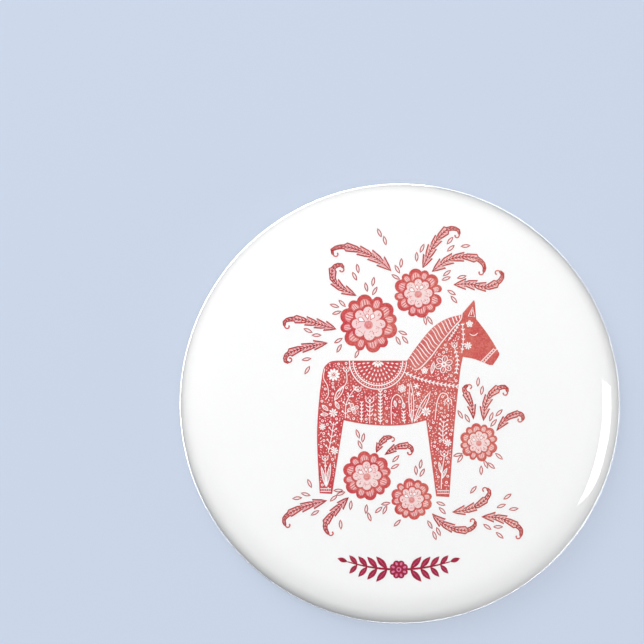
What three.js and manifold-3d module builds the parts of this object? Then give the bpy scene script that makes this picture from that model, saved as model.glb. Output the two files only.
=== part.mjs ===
// A round button magnet, 57 mm across, printed with a folk-art horse among flowers.
// It stands as it does on a steel door: the print faces -Y, the print's top is +Z, and the
// origin is the centre of the magnet's flat back face. All sizes are in millimetres.
//
// From front to back it is a clear film, the print's ink, a paper disc, a stamped tinplate
// front, a tinplate back pan, an adhesive disc and a flexible magnet disc.

import * as THREE from 'three';
import { mergeVertices } from 'three/addons/utils/BufferGeometryUtils.js';
import Module from 'manifold-3d';

// ---- Driving dimensions ----

const BUTTON_RADIUS = 28.5;
const SEGMENTS = 48; // around the axis, the same on every turned piece so that nested facets are parallel

// The front's outer layers, as distances out from the tinplate: [inner side, outer side].
const PAPER_LAYER = [0.02, 0.12];
const INK_LAYER = [0.14, 0.16];
const FILM_LAYER = [0.18, 0.26];
const TINPLATE = 0.28;

// The stamped front: a low crown, a wider bend, a tight shoulder, then the curled edge.
const EDGE_Y = -1.6; // where the front is widest
const CROWN_ANGLE = 4.5; // degrees of normal, where the crown ends
const BEND_RADIUS = 8;
const BEND_ANGLE = 25;
const SHOULDER_RADIUS = 2.4;
const BEAD_RADIUS = 0.75;
const BEAD_ANGLE = 150;
const CURL_RADIUS = 0.42;
const CURL_ANGLE = 250;
const TUCK_ANGLE = 270;

// The back pan: a floor, a wall, a rounded rim and a skirt that locks behind the curled edge.
const PAN_FLOOR_Y = -2.4;
const PAN_WALL_RADIUS = 25.3;
const PAN_FILLET = 0.4;
const PAN_RIM_Y = -0.95;
const PAN_RIM_RADIUS = 0.66;
const SKIRT_BEND_Y = -1.75;
const SKIRT_END = new THREE.Vector2(27.25, -2.7);

const MAGNET_RADIUS = 24.95;
const MAGNET_CHAMFER = { width: 1.0, depth: 0.35 };
const MAGNET_FRONT_Y = -2.1;
const ADHESIVE_RADIUS = 24.6;
const ADHESIVE_GAP = 0.02; // clearance on each side of the adhesive disc

const PRINT_REACH = 26; // the ink lies within this radius
const PRISM_DEPTH = 10;
const FLOWER_LOBES = 12;
const LEAF_STEPS = 8;

// ---- The print's layout: x to the right and y up, as seen from the front ----

const FLOWERS = [
  { at: [-4.1, 10.4], radius: 3.8 },
  { at: [2.3, 14.3], radius: 3.2 },
  { at: [-4.3, -9.2], radius: 3.2 },
  { at: [1.4, -12.4], radius: 2.7 },
  { at: [10.1, -4.9], radius: 2.5 },
];

// Each leaf's midrib passes through these points, from its foot to its curled tip.
const LEAVES = [
  [[-1.2, 17.2], [-3.1, 18.8], [-5.8, 20.0], [-7.6, 20.3], [-8.8, 19.9], [-8.6, 19.2]],
  [[-5.7, 14.0], [-7.8, 15.1], [-8.8, 16.4], [-8.6, 17.6], [-7.7, 18.0], [-7.3, 17.5]],
  [[-8.3, 9.7], [-10.1, 10.2], [-12.0, 10.7], [-13.8, 11.0], [-14.9, 10.7], [-14.9, 10.0]],
  [[-9.4, 7.9], [-11.4, 7.5], [-13.4, 7.0], [-14.7, 6.3], [-14.8, 5.5], [-14.3, 5.4]],
  [[2.9, 17.6], [3.8, 19.6], [4.8, 21.3], [6.2, 22.6], [7.4, 22.5], [7.6, 21.8]],
  [[4.1, 17.1], [6.0, 18.5], [8.0, 19.0], [9.8, 18.8], [10.8, 17.9], [10.7, 16.9]],
  [[6.9, 15.4], [8.9, 15.5], [11.1, 15.1], [12.7, 15.8], [13.2, 16.7], [12.7, 17.2]],
  [[9.4, -1.9], [9.2, -0.3], [8.6, 1.1], [8.2, 2.0], [8.7, 2.5]],
  [[10.7, -2.1], [10.9, -0.2], [11.6, 1.3], [12.7, 2.1], [13.6, 2.2], [13.8, 1.5]],
  [[12.4, -3.4], [13.3, -2.2], [14.3, -1.4], [15.3, -1.2], [15.8, -1.6], [15.7, -2.1]],
  [[-3.1, -6.2], [-2.7, -5.2], [-2.0, -4.4], [-1.1, -4.2]],
  [[-2.0, -6.5], [-0.7, -5.6], [0.6, -5.3], [1.4, -5.6], [1.5, -6.2]],
  [[-9.5, -12.4], [-12.1, -13.1], [-14.0, -13.9], [-15.0, -14.8], [-14.8, -15.7]],
  [[-6.7, -12.0], [-8.1, -13.4], [-9.4, -14.9], [-9.7, -15.9], [-9.2, -16.8]],
  [[6.7, -13.9], [8.9, -13.5], [10.7, -12.5], [11.5, -11.4], [11.1, -10.8]],
  [[4.1, -14.1], [5.4, -15.3], [7.1, -16.1], [8.7, -16.2], [9.6, -15.6], [9.6, -15.0]],
  [[10.5, -14.5], [12.5, -14.6], [14.2, -15.2], [15.5, -16.1], [15.5, -17.1]],
];
// A leaf's half-width at its widest, as a share of its length plus a fixed amount.
const LEAF_WIDTH = { share: 0.05, fixed: 0.14 };

const SADDLE = { centre: [-2.9, 5.63], radius: 3.6 };
const BARE_LINE = 0.32; // bare paper between the horse's body, mane and saddle

// A small garland hangs below the horse, with pairs of leaves on each side of a round flower.
const GARLAND = { centre: [-0.2, -21.3], halfLength: 6.6, rise: 1.0, stem: 0.34, flower: 1.25, pairs: 4, leaf: 2.2 };

// ---- Materials ----

function material(color, roughness, metalness) {
  return new THREE.MeshStandardMaterial({ color, roughness, metalness });
}

const clearFilm = () => {
  const film = material('#fbfcfd', 0.08, 0);
  film.transparent = true;
  film.opacity = 0.15;
  return film;
};
const whitePaper = () => material('#fbfaf8', 0.85, 0);
const redInk = () => material('#cc4a46', 0.7, 0);
const crimsonInk = () => material('#a3123c', 0.7, 0);
const tinplate = () => material('#c9cacc', 0.22, 1);
const gluePad = () => material('#d8d5cc', 0.6, 0);
const magnetRubber = () => material('#38383a', 0.8, 0);

// ---- Turned pieces ----

// A point's direction from an arc's centre: 0 degrees faces the front, 90 away from the axis.
function towards(degrees) {
  const angle = THREE.MathUtils.degToRad(degrees);
  return new THREE.Vector2(Math.sin(angle), -Math.cos(angle));
}

function arc(centre, radius, from, to, steps) {
  return Array.from({ length: steps + 1 }, (_, i) => (
    towards(from + ((to - from) * i) / steps).multiplyScalar(radius).add(centre)
  ));
}

// Joins runs of points into one line, leaving out each run's first point where it repeats the last.
function joined(...runs) {
  const line = [];
  for (const point of runs.flat()) {
    if (!line.length || point.distanceTo(line.at(-1)) > 1e-6) line.push(point);
  }
  return line;
}

// The line moved sideways by a distance, to the left of its direction, with mitred corners.
function offsetLine(line, distance) {
  const normals = line.slice(1).map((point, i) => {
    const along = point.clone().sub(line[i]).normalize();
    return new THREE.Vector2(along.y, -along.x);
  });
  return line.map((point, i) => {
    const before = normals[Math.max(i - 1, 0)];
    const after = normals[Math.min(i, normals.length - 1)];
    const mitre = before.clone().add(after);
    mitre.multiplyScalar(2 / mitre.lengthSq());
    const moved = point.clone().addScaledVector(mitre, distance);
    if (point.x < 1e-9) moved.x = 0;
    return moved;
  });
}

// A sheet of even thickness: the space between two offsets of a line that starts on the axis.
function turnedSheet(line, [low, high]) {
  return turned([...offsetLine(line, high), ...offsetLine(line, low).reverse()]);
}

function turned(outline) {
  return new THREE.LatheGeometry(outline, SEGMENTS);
}

// The tinplate front's outer surface, from the crown's centre to the end of its curl. The film and
// paper are tucked in a little further than the tinplate.
function frontLine(tucked) {
  const plateRadius = BUTTON_RADIUS - FILM_LAYER[1];
  const shoulder = new THREE.Vector2(plateRadius - SHOULDER_RADIUS, EDGE_Y);
  const bend = shoulder.clone().addScaledVector(towards(BEND_ANGLE), SHOULDER_RADIUS - BEND_RADIUS);
  const crownReach = bend.x / Math.sin(THREE.MathUtils.degToRad(CROWN_ANGLE));
  const crown = bend.clone().addScaledVector(towards(CROWN_ANGLE), -crownReach);
  crown.x = 0;
  const bead = new THREE.Vector2(plateRadius - BEAD_RADIUS, EDGE_Y);
  const curl = bead.clone().addScaledVector(towards(BEAD_ANGLE), BEAD_RADIUS - CURL_RADIUS);
  return joined(
    arc(crown, crownReach + BEND_RADIUS, 0, CROWN_ANGLE, 3),
    arc(bend, BEND_RADIUS, CROWN_ANGLE, BEND_ANGLE, 2),
    arc(shoulder, SHOULDER_RADIUS, BEND_ANGLE, 90, 4),
    arc(bead, BEAD_RADIUS, 90, BEAD_ANGLE, 2),
    arc(curl, CURL_RADIUS, BEAD_ANGLE, CURL_ANGLE, 3),
    tucked ? arc(curl, CURL_RADIUS, CURL_ANGLE, TUCK_ANGLE, 1) : [],
  );
}

// The part of the front's surface that carries ink.
function printLine() {
  return frontLine(false).filter((point) => point.x < PRINT_REACH && point.y < EDGE_Y);
}

function backPan() {
  const rimCentre = new THREE.Vector2(PAN_WALL_RADIUS + PAN_RIM_RADIUS, PAN_RIM_Y);
  const fillet = new THREE.Vector2(PAN_WALL_RADIUS - PAN_FILLET, PAN_FLOOR_Y + PAN_FILLET);
  const line = joined(
    [new THREE.Vector2(0, PAN_FLOOR_Y)],
    arc(fillet, PAN_FILLET, 0, 90, 2),
    arc(rimCentre, PAN_RIM_RADIUS, 270, 90, 6),
    [new THREE.Vector2(rimCentre.x + PAN_RIM_RADIUS, SKIRT_BEND_Y), SKIRT_END],
  );
  return turnedSheet(line, [-TINPLATE / 2, TINPLATE / 2]);
}

function disc(radius, frontY, backY, chamfer = { width: 0, depth: 0 }) {
  const outline = joined([
    new THREE.Vector2(0, frontY),
    new THREE.Vector2(radius, frontY),
    new THREE.Vector2(radius, backY - chamfer.depth),
    new THREE.Vector2(radius - chamfer.width, backY),
    new THREE.Vector2(0, backY),
  ]);
  return turned(outline);
}

// ---- Joining and cutting ----

const wasm = await Module();
wasm.setup();

function toSolid(geometry) {
  const bare = geometry.index ? geometry.toNonIndexed() : geometry.clone();
  bare.deleteAttribute('normal');
  bare.deleteAttribute('uv');
  const welded = mergeVertices(bare, 1e-5);
  const vertProperties = Float32Array.from(welded.attributes.position.array);
  const triVerts = Uint32Array.from(welded.index.array);
  return new wasm.Manifold(new wasm.Mesh({ numProp: 3, vertProperties, triVerts }));
}

function toGeometry(solid) {
  const { vertProperties, triVerts } = solid.getMesh();
  const geometry = new THREE.BufferGeometry();
  geometry.setAttribute('position', new THREE.BufferAttribute(vertProperties, 3));
  geometry.setIndex(new THREE.BufferAttribute(triVerts, 1));
  geometry.computeVertexNormals();
  return geometry;
}

// ---- Printed pieces ----

const inkSheet = toSolid(turnedSheet(printLine(), INK_LAYER));

// A prism through the front, standing on a flat outline.
function prism(outline) {
  const points = outline.map(([x, y]) => new THREE.Vector2(x, y));
  const geometry = new THREE.ExtrudeGeometry(new THREE.Shape(points), {
    depth: PRISM_DEPTH,
    bevelEnabled: false,
  });
  return toSolid(geometry.rotateX(Math.PI / 2));
}

function printed(stamp) {
  return toGeometry(stamp.intersect(inkSheet));
}

// Points along a smooth curve through the given ones.
function smooth(points, steps) {
  const curve = new THREE.SplineCurve(points.map(([x, y]) => new THREE.Vector2(x, y)));
  return curve.getPoints(steps).map((point) => [point.x, point.y]);
}

function flowerOutline({ at: [cx, cy], radius }) {
  const perLobe = 4;
  const count = FLOWER_LOBES * perLobe;
  return Array.from({ length: count }, (_, i) => {
    const turn = (2 * Math.PI * i) / count;
    const reach = radius * (0.88 + 0.12 * Math.abs(Math.sin((FLOWER_LOBES / 2) * turn)));
    return [cx + reach * Math.cos(turn), cy + reach * Math.sin(turn)];
  });
}

function leafOutline(points) {
  const midrib = new THREE.SplineCurve(points.map(([x, y]) => new THREE.Vector2(x, y)));
  const widest = LEAF_WIDTH.share * midrib.getLength() + LEAF_WIDTH.fixed;
  const side = (sign) => Array.from({ length: LEAF_STEPS - 1 }, (_, i) => {
    const t = (i + 1) / LEAF_STEPS;
    const along = midrib.getTangentAt(t);
    const half = sign * widest * Math.sin(Math.PI * t ** 0.6);
    const point = midrib.getPointAt(t);
    return [point.x - along.y * half, point.y + along.x * half];
  });
  return [points[0], ...side(-1), points.at(-1), ...side(1).reverse()];
}

// The whole horse, clockwise from the croup.
function horseOutline() {
  return [
    ...smooth([[-10.1, 3.7], [-9.8, 4.8], [-9.0, 5.5], [-8.0, 5.63]], 4),
    ...smooth([[0.85, 5.63], [2.1, 7.45], [4.0, 9.75], [5.9, 11.0], [7.85, 11.55]], 8),
    [9.4, 13.45],
    ...smooth([[9.75, 11.0], [11.2, 9.1], [12.5, 7.0], [12.7, 6.3], [11.9, 5.05]], 8),
    ...smooth([[11.5, 5.05], [9.6, 5.8], [8.05, 6.1]], 3),
    ...smooth([[7.8, 5.0], [7.5, 2.6], [6.9, -3.4], [6.3, -11.95]], 5),
    [4.6, -11.85],
    ...smooth([[3.3, -2.05], [1.0, -2.6], [-2.0, -2.75], [-5.0, -2.5], [-7.3, -2.05]], 6),
    [-8.8, -11.55],
    ...smooth([[-10.4, -11.45], [-10.75, -4.0], [-10.4, 1.4]], 4),
  ];
}

// The mane and the space above it, down to a line that is moved towards the mane by a distance.
function maneOutline(moved) {
  const line = smooth([[0.3, 6.2], [1.9, 4.45], [3.6, 5.75], [5.15, 7.8], [6.85, 9.9], [7.8, 11.0], [8.0, 12.4]], 12);
  const step = moved * Math.SQRT1_2;
  return [...line.map(([x, y]) => [x - step, y + step]), [0, 13]];
}

function discOutline([cx, cy], radius) {
  const count = 32;
  return Array.from({ length: count }, (_, i) => {
    const turn = (2 * Math.PI * i) / count;
    return [cx + radius * Math.cos(turn), cy + radius * Math.sin(turn)];
  });
}

// The horse comes apart along two bare lines: under the mane and round the saddle.
function horsePrints() {
  const horse = prism(horseOutline());
  const mane = horse.intersect(prism(maneOutline(BARE_LINE / 2)));
  const saddle = horse.intersect(prism(discOutline(SADDLE.centre, SADDLE.radius)));
  const body = horse
    .subtract(prism(maneOutline(-BARE_LINE / 2)))
    .subtract(prism(discOutline(SADDLE.centre, SADDLE.radius + BARE_LINE)));
  return { body, mane, saddle };
}

function bladeOutline([x, y], degrees, length) {
  const angle = THREE.MathUtils.degToRad(degrees);
  const point = (along, across) => [
    x + length * (along * Math.cos(angle) - across * Math.sin(angle)),
    y + length * (along * Math.sin(angle) + across * Math.cos(angle)),
  ];
  return [point(0, 0), point(0.35, -0.17), point(0.7, -0.13), point(1, 0), point(0.7, 0.13), point(0.35, 0.17)];
}

function garland() {
  const { centre: [cx, cy], halfLength, rise, stem, flower, pairs, leaf } = GARLAND;
  const steps = 16;
  const height = (x) => cy + rise * ((x - cx) / halfLength) ** 2;
  const places = Array.from({ length: steps + 1 }, (_, i) => cx - halfLength + (2 * halfLength * i) / steps);
  const upper = places.map((x) => [x, height(x) + stem / 2]);
  const lower = places.map((x) => [x, height(x) - stem / 2]).reverse();
  const pieces = [[...lower, ...upper], flowerOutline({ at: [cx, cy], radius: flower })];
  for (let pair = 0; pair < pairs; pair += 1) {
    for (const side of [-1, 1]) {
      const x = cx + side * (flower + ((halfLength - flower) * pair) / pairs);
      for (const turn of [-50, 50]) {
        const degrees = side > 0 ? turn : 180 - turn;
        pieces.push(bladeOutline([x, height(x)], degrees, leaf * (1 - 0.1 * pair)));
      }
    }
  }
  return pieces.map(prism).reduce((all, next) => all.add(next));
}

// ---- The assembly ----

const magnet = new THREE.Group();

function add(name, geometry, finish) {
  const mesh = new THREE.Mesh(geometry, finish);
  mesh.name = name;
  magnet.add(mesh);
}

add('clear_film', turnedSheet(frontLine(true), FILM_LAYER), clearFilm());
add('paper_disc', turnedSheet(frontLine(true), PAPER_LAYER), whitePaper());
add('tinplate_front', turnedSheet(frontLine(false), [-TINPLATE, 0]), tinplate());
add('tinplate_back_pan', backPan(), tinplate());

const padFrontY = PAN_FLOOR_Y + TINPLATE / 2 + ADHESIVE_GAP;
add('adhesive_disc', disc(ADHESIVE_RADIUS, padFrontY, MAGNET_FRONT_Y - ADHESIVE_GAP), gluePad());
add('magnet_disc', disc(MAGNET_RADIUS, MAGNET_FRONT_Y, 0, MAGNET_CHAMFER), magnetRubber());

const horse = horsePrints();
add('print_horse', printed(horse.body), redInk());
add('print_mane', printed(horse.mane), redInk());
add('print_saddle', printed(horse.saddle), redInk());
FLOWERS.forEach((flower, i) => add(`print_flower_${i + 1}`, printed(prism(flowerOutline(flower))), redInk()));
LEAVES.forEach((leaf, i) => add(`print_leaf_${i + 1}`, printed(prism(leafOutline(leaf))), redInk()));
add('print_garland', printed(garland()), crimsonInk());

export default magnet;
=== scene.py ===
"""A round button magnet, 57 mm across, printed with a folk-art horse among flowers.

The print faces -Y and the print's top is +Z. The origin is the centre of the magnet's flat back.
Outlines are worked out in millimetres and made metres where a mesh is built.
"""

import math
import random

import bpy
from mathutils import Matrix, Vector
from mathutils.geometry import delaunay_2d_cdt


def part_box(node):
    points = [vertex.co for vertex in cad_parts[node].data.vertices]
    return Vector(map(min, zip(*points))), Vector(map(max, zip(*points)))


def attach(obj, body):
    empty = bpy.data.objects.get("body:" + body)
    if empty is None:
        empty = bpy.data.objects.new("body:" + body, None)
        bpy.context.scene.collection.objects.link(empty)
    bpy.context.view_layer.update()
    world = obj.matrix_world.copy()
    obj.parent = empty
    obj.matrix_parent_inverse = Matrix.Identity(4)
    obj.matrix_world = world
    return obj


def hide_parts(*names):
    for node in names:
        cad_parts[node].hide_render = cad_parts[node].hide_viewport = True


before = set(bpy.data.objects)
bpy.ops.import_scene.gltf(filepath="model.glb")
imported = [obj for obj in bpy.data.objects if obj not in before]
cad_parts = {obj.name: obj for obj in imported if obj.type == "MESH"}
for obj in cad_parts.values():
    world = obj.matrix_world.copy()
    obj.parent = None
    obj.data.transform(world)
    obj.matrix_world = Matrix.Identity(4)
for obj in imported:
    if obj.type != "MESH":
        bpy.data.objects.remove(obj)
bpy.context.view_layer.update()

bl_info = {
    "name": "Folk horse button magnet",
    "version": (1, 0, 0),
    "blender": (4, 5, 0),
    "location": "3D View > Sidebar > Magnet",
    "description": "Builds a round button magnet with a folk-art horse print",
    "category": "Object",
}

MM = 0.001

# ---- The front's section: a low crown, a wider bend, a tight shoulder, a bead and a curl ----
# Sizes are in millimetres, and angles are in degrees.

PAPER_LAYER = (0.02, 0.12)  # distances out from the tinplate: inner side, outer side
FILM_LAYER = (0.18, 0.26)
TINPLATE = 0.28
EDGE_Y = -1.6
CROWN_ANGLE = 4.5
BEND_RADIUS = 8.0
BEND_ANGLE = 25.0
SHOULDER_RADIUS = 2.4
BEAD_RADIUS = 0.75
BEAD_ANGLE = 150.0
CURL_RADIUS = 0.42
CURL_ANGLE = 250.0
TUCK_ANGLE = 270.0
PLEAT_START = 100.0  # how far round the fold the pleats start, and where they are full
PLEAT_FULL = 220.0
PLEAT_SEED = 57

# ---- The back pan, the adhesive and the magnet ----

PAN_FLOOR_Y = -2.4
PAN_WALL_RADIUS = 25.3
PAN_FILLET = 0.4
PAN_RIM_Y = -0.95
PAN_RIM_RADIUS = 0.66
SKIRT_BEND = (26.62, -1.75)
SKIRT_END = (27.25, -2.7)
PAN_BEAD_RADIUS = 0.7  # the rim's bright round, and two fine ridges outside it
PAN_RIDGE_RADIUS = 0.085
MAGNET_RADIUS = 24.95
MAGNET_FRONT_Y = -2.1
MAGNET_CHAMFER = (1.0, 0.35)  # across the face, along the side
ADHESIVE_RADIUS = 24.6
ADHESIVE_Y = (-2.24, -2.12)

# ---- The ink ----

INK_LAYERS = (0.140, 0.146, 0.152, 0.158, 0.164, 0.170)  # distances out from the tinplate
INK_THICKNESS = 0.005
LAYER_STEP = 0.0002  # lifts each next shape of a layer a little, so that shapes can cross
LAYER_STEPS = 16
GRID = 1.0  # shapes larger than this are cut on a grid, so that they follow the dome

# How much ink covers the paper: none at 0, one even coat at 1.
BARE = 0.0
BLUSH = 0.13
PALE = 0.28
PEACH = 0.46
ROSE = 0.7
WORN = 0.78
RED = 0.95
DARK = 1.6

# Widths of the pen's lines.
VEIN = 0.07
TWIG = 0.08
FINE = 0.09
STEM = 0.1
PEN = 0.11
SEED_EDGE = 0.115
RIB = 0.12
CUP_EDGE = 0.13
SADDLE_EDGE = 0.15
LEAF_EDGE = 0.16
GARLAND_STEM = 0.3

# Seeds of the random draws.
PRINT_SEED = 7
FLOWER_SEED = 11

# ---- Finishes and the camera ----

RUMP_X = -11.0  # where the red ink is deepest, and where it is warmest
HEAD_X = 12.0
PRESS_LINE = 0.10134  # from one fine line of the press to the next
CAMERA_X = -10.1
CAMERA_Z = 10.6
DOOR_GAP = 0.2  # between the magnet's back and the door
# The stage's own sizes are in metres.
DOOR_SIZE = (1.4, 0.7)
DOOR_Z = 0.29
STUDIO_RADIUS = 1.6
FLOOR_Z = -0.06
AIR_COLOUR = (0.93, 0.96, 1.0)
AIR_STRENGTH = 0.34

# ---- The print's layout ----

# Each flower's centre and radius.
FLOWERS = (
    ((-4.1, 10.4), 3.8),
    ((2.3, 14.3), 3.2),
    ((-4.3, -9.2), 3.2),
    ((1.45, -12.2), 2.7),
    ((10.1, -4.9), 2.5),
)
PETALS = 12
ROSETTE_PETALS = 8

# Each leaf's midrib, from its foot to its curled tip.
LEAVES = (
    ((-1.2, 17.2), (-3.1, 18.8), (-5.8, 20.0), (-7.6, 20.3), (-8.8, 19.9), (-8.6, 19.2)),
    ((-5.7, 14.0), (-7.8, 15.1), (-8.8, 16.4), (-8.6, 17.6), (-7.7, 18.0), (-7.3, 17.5)),
    ((-8.3, 9.7), (-10.1, 10.2), (-12.0, 10.7), (-13.8, 11.0), (-14.9, 10.7), (-14.9, 10.0)),
    ((-9.4, 7.9), (-11.4, 7.5), (-13.4, 7.0), (-14.7, 6.3), (-14.8, 5.5), (-14.3, 5.4)),
    ((2.9, 17.6), (3.8, 19.6), (4.8, 21.3), (6.2, 22.6), (7.4, 22.5), (7.6, 21.8)),
    ((4.1, 17.1), (6.0, 18.5), (8.0, 19.0), (9.8, 18.8), (10.8, 17.9), (10.7, 16.9)),
    ((6.9, 15.4), (8.9, 15.5), (11.1, 15.1), (12.7, 15.8), (13.2, 16.7), (12.7, 17.2)),
    ((9.4, -1.9), (9.2, -0.3), (8.6, 1.1), (8.2, 2.0), (8.7, 2.5)),
    ((10.7, -2.1), (10.9, -0.2), (11.6, 1.3), (12.7, 2.1), (13.6, 2.2), (13.8, 1.5)),
    ((12.4, -3.4), (13.3, -2.2), (14.3, -1.4), (15.3, -1.2), (15.8, -1.6), (15.7, -2.1)),
    ((-3.1, -6.2), (-2.7, -5.2), (-2.0, -4.4), (-1.1, -4.2)),
    ((-2.0, -6.5), (-0.7, -5.6), (0.6, -5.3), (1.4, -5.6), (1.5, -6.2)),
    ((-9.5, -12.4), (-12.1, -13.1), (-14.0, -13.9), (-15.0, -14.8), (-14.8, -15.7)),
    ((-6.7, -12.0), (-8.1, -13.4), (-9.4, -14.9), (-9.7, -15.9), (-9.2, -16.8)),
    ((6.7, -13.9), (8.9, -13.5), (10.7, -12.5), (11.5, -11.4), (11.1, -10.8)),
    ((4.1, -14.1), (5.4, -15.3), (7.1, -16.1), (8.7, -16.2), (9.6, -15.6), (9.6, -15.0)),
    ((10.5, -14.5), (12.5, -14.6), (14.2, -15.2), (15.5, -16.1), (15.5, -17.1)),
)

# Each seed's centre and the way it points, in degrees.
SEEDS = (
    (-2.7, 22.1, 115), (-2.0, 21.1, 105), (-5.5, 17.5, 100), (-5.9, 16.5, 118), (-4.4, 15.1, 103),
    (-3.5, 15.8, 80), (-3.3, 14.6, 60), (-7.5, 13.0, 135), (-8.5, 12.7, 163), (-8.2, 11.8, 17),
    (-11.9, 9.5, 155), (-10.8, 8.9, 0), (-8.0, 8.2, 30), (-7.9, 7.2, 60), (-5.6, 6.5, 65),
    (-12.1, 5.8, 10), (-12.0, 4.4, 58), (0.3, 9.2, 158), (-0.3, 8.2, 118), (0.6, 8.3, 130),
    (-0.4, 17.4, 120), (-0.6, 16.4, 150), (0.1, 18.2, 85), (2.8, 20.1, 65), (2.1, 19.0, 90),
    (6.4, 21.1, 50), (6.5, 20.1, 40), (8.4, 20.4, 5), (6.0, 16.9, 36), (5.9, 16.2, 20),
    (7.9, 16.4, 15), (6.6, 14.4, 150), (6.9, 13.5, 132), (3.2, 10.8, 100), (3.8, 10.8, 122),
    (10.0, 2.9, 85), (10.5, 1.8, 80), (7.7, -1.3, 120), (8.6, -1.8, 120), (11.7, -1.6, 70),
    (12.7, -1.1, 45), (12.0, -2.4, 50), (7.4, -6.5, 15), (7.7, -7.0, 55), (12.7, -6.7, 140),
    (11.0, -7.7, 115), (11.7, -7.9, 140), (10.4, -8.5, 90), (-5.5, -3.8, 110), (-4.8, -4.3, 80),
    (-5.2, -5.2, 115), (-0.6, -7.0, 45), (-0.7, -8.0, 30), (2.6, -7.7, 80), (2.0, -8.5, 95),
    (2.8, -8.8, 60), (-11.7, -10.2, 115), (-12.2, -11.6, 165), (-13.3, -12.1, 5), (-8.0, -11.1, 0),
    (-7.7, -11.5, 20), (-8.6, -12.1, 40), (-11.0, -14.0, 30), (-6.4, -13.0, 85), (-7.7, -15.5, 95),
    (-4.4, -13.5, 85), (-4.0, -14.5, 110), (-2.8, -13.6, 40), (-2.0, -13.6, 65), (-1.9, -12.8, 10),
    (-0.4, -15.3, 45), (3.8, -15.5, 120), (4.9, -16.4, 115), (4.4, -16.9, 110), (5.2, -12.8, 160),
    (5.4, -13.7, 135), (9.4, -11.0, 50), (13.8, -11.9, 35), (13.0, -13.1, 20), (14.6, -13.5, 5),
    (11.2, -15.8, 145), (12.6, -15.8, 0), (12.8, -16.9, 140),
)

SADDLE_CENTRE = (-2.9, 5.63)
SADDLE_RADIUS = 3.6
BARE_LINE = 0.15  # bare paper between the horse's body, mane and saddle
SEED_HALF_LENGTH = 0.6
SEED_WIDTH = 0.36
CREST = ((0.85, 5.63), (2.1, 7.45), (4.0, 9.75), (5.9, 11.0), (7.85, 11.55))
MANE_LINE = ((0.3, 6.2), (1.9, 4.45), (3.6, 5.75), (5.15, 7.8), (6.85, 9.9), (7.8, 11.0), (8.0, 12.4))

TOOTH_LENGTH = 2.1  # of a leaf's length, for each of its teeth
TOOTHED_SHARE = 0.68  # of a leaf's length, from its foot
# A leaf's smooth end: shares of its length, and its half-width there.
LEAF_END = ((0.74, 0.24), (0.8, 0.23), (0.86, 0.2), (0.92, 0.16), (0.97, 0.11))

FILLER_TRIES = 12000
RING_TRIES = 900  # the first tries, which place the larger rings

GARLAND_CENTRE = (-0.2, -21.3)
GARLAND_HALF_LENGTH = 6.6
GARLAND_RISE = 1.0
GARLAND_PAIRS = 4
GARLAND_PETALS = 8


# ---- Settings ----


def length(name, description, default):
    """A setting in metres."""
    return bpy.props.FloatProperty(
        name=name, description=description, default=default, unit="LENGTH", precision=5
    )


def power(name, description, default):
    """A setting for a light, in watts."""
    return bpy.props.FloatProperty(name=name, description=description, default=default, unit="POWER")


def colour(name, description, default):
    """A setting for a colour."""
    return bpy.props.FloatVectorProperty(
        name=name, description=description, default=default, subtype="COLOR"
    )


class MagnetSizes(bpy.types.PropertyGroup):
    """Sizes of the turned pieces."""

    button_radius: length(
        "Button radius",
        "Radius of the finished button, over the film",
        round(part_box("clear_film")[1].x, 5),
    )
    turn_steps: bpy.props.IntProperty(
        name="Steps around",
        description="Steps around the axis in the film and the paper",
        default=720,
    )
    pleats: bpy.props.IntProperty(
        name="Pleats",
        description="Small pleats in the folded edge of the film and the paper",
        default=104,
    )
    pleat_depth: length("Pleat depth", "How far the deepest pleat stands out from the fold", 0.00011)


class MagnetColours(bpy.types.PropertyGroup):
    """Colours of the print and of the bare pieces, as linear light."""

    deep_ink: colour("Deep red ink", "Red ink at the print's left", (0.59, 0.044, 0.054))
    coral_ink: colour("Coral ink", "Warmer red ink at the print's right", (0.66, 0.13, 0.10))
    crimson_ink: colour("Crimson ink", "Ink of the garland", (0.33, 0.003, 0.030))
    paper: colour("Paper", "Bare paper", (0.90, 0.895, 0.885))
    tin: colour("Tinplate", "Bare tinplate", (0.78, 0.785, 0.79))
    magnet: colour("Magnet rubber", "Ferrite rubber of the magnet", (0.040, 0.040, 0.042))


class MagnetStage(bpy.types.PropertyGroup):
    """Camera, lights and backdrop."""

    lens: bpy.props.FloatProperty(
        name="Lens",
        description="Focal length of the camera, in millimetres",
        default=270.0,
    )
    distance: length("Camera distance", "From the camera to the plane of the button's edge", 0.6258)
    backdrop: colour("Backdrop", "Door and studio, as linear light", (0.597, 0.672, 0.807))
    key_power: power("Key light", "Power of the large light above and to the left", 2.68)
    fill_power: power("Fill light", "Power of the large light in front", 2.85)
    side_power: power("Side light", "Power of the light that shows as the arc on the right", 2.2)
    top_power: power("Top light", "Power of the light that shows in the upper edge", 0.6)
    back_power: power("Back light", "Power of the light behind the magnet", 2.0)


# ---- Curves and outlines, in millimetres ----


def towards(degrees):
    """The direction from an arc's centre in a turned section: 0 faces the front, 90 faces outward."""
    angle = math.radians(degrees)
    return math.sin(angle), -math.cos(angle)


def moved(point, degrees, distance):
    """A point of a turned section, moved in a direction."""
    across, along = towards(degrees)
    return point[0] + distance * across, point[1] + distance * along


def section_arc(centre, radius, start, end, steps):
    """Points along an arc of a turned section, from one direction to another."""
    return [moved(centre, start + (end - start) * i / steps, radius) for i in range(steps + 1)]


def joined(*runs):
    """Runs of points as one line, without the points that repeat."""
    line = []
    for point in (p for run in runs for p in run):
        if not line or math.dist(point, line[-1]) > 1e-5:
            line.append(point)
    return line


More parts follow.
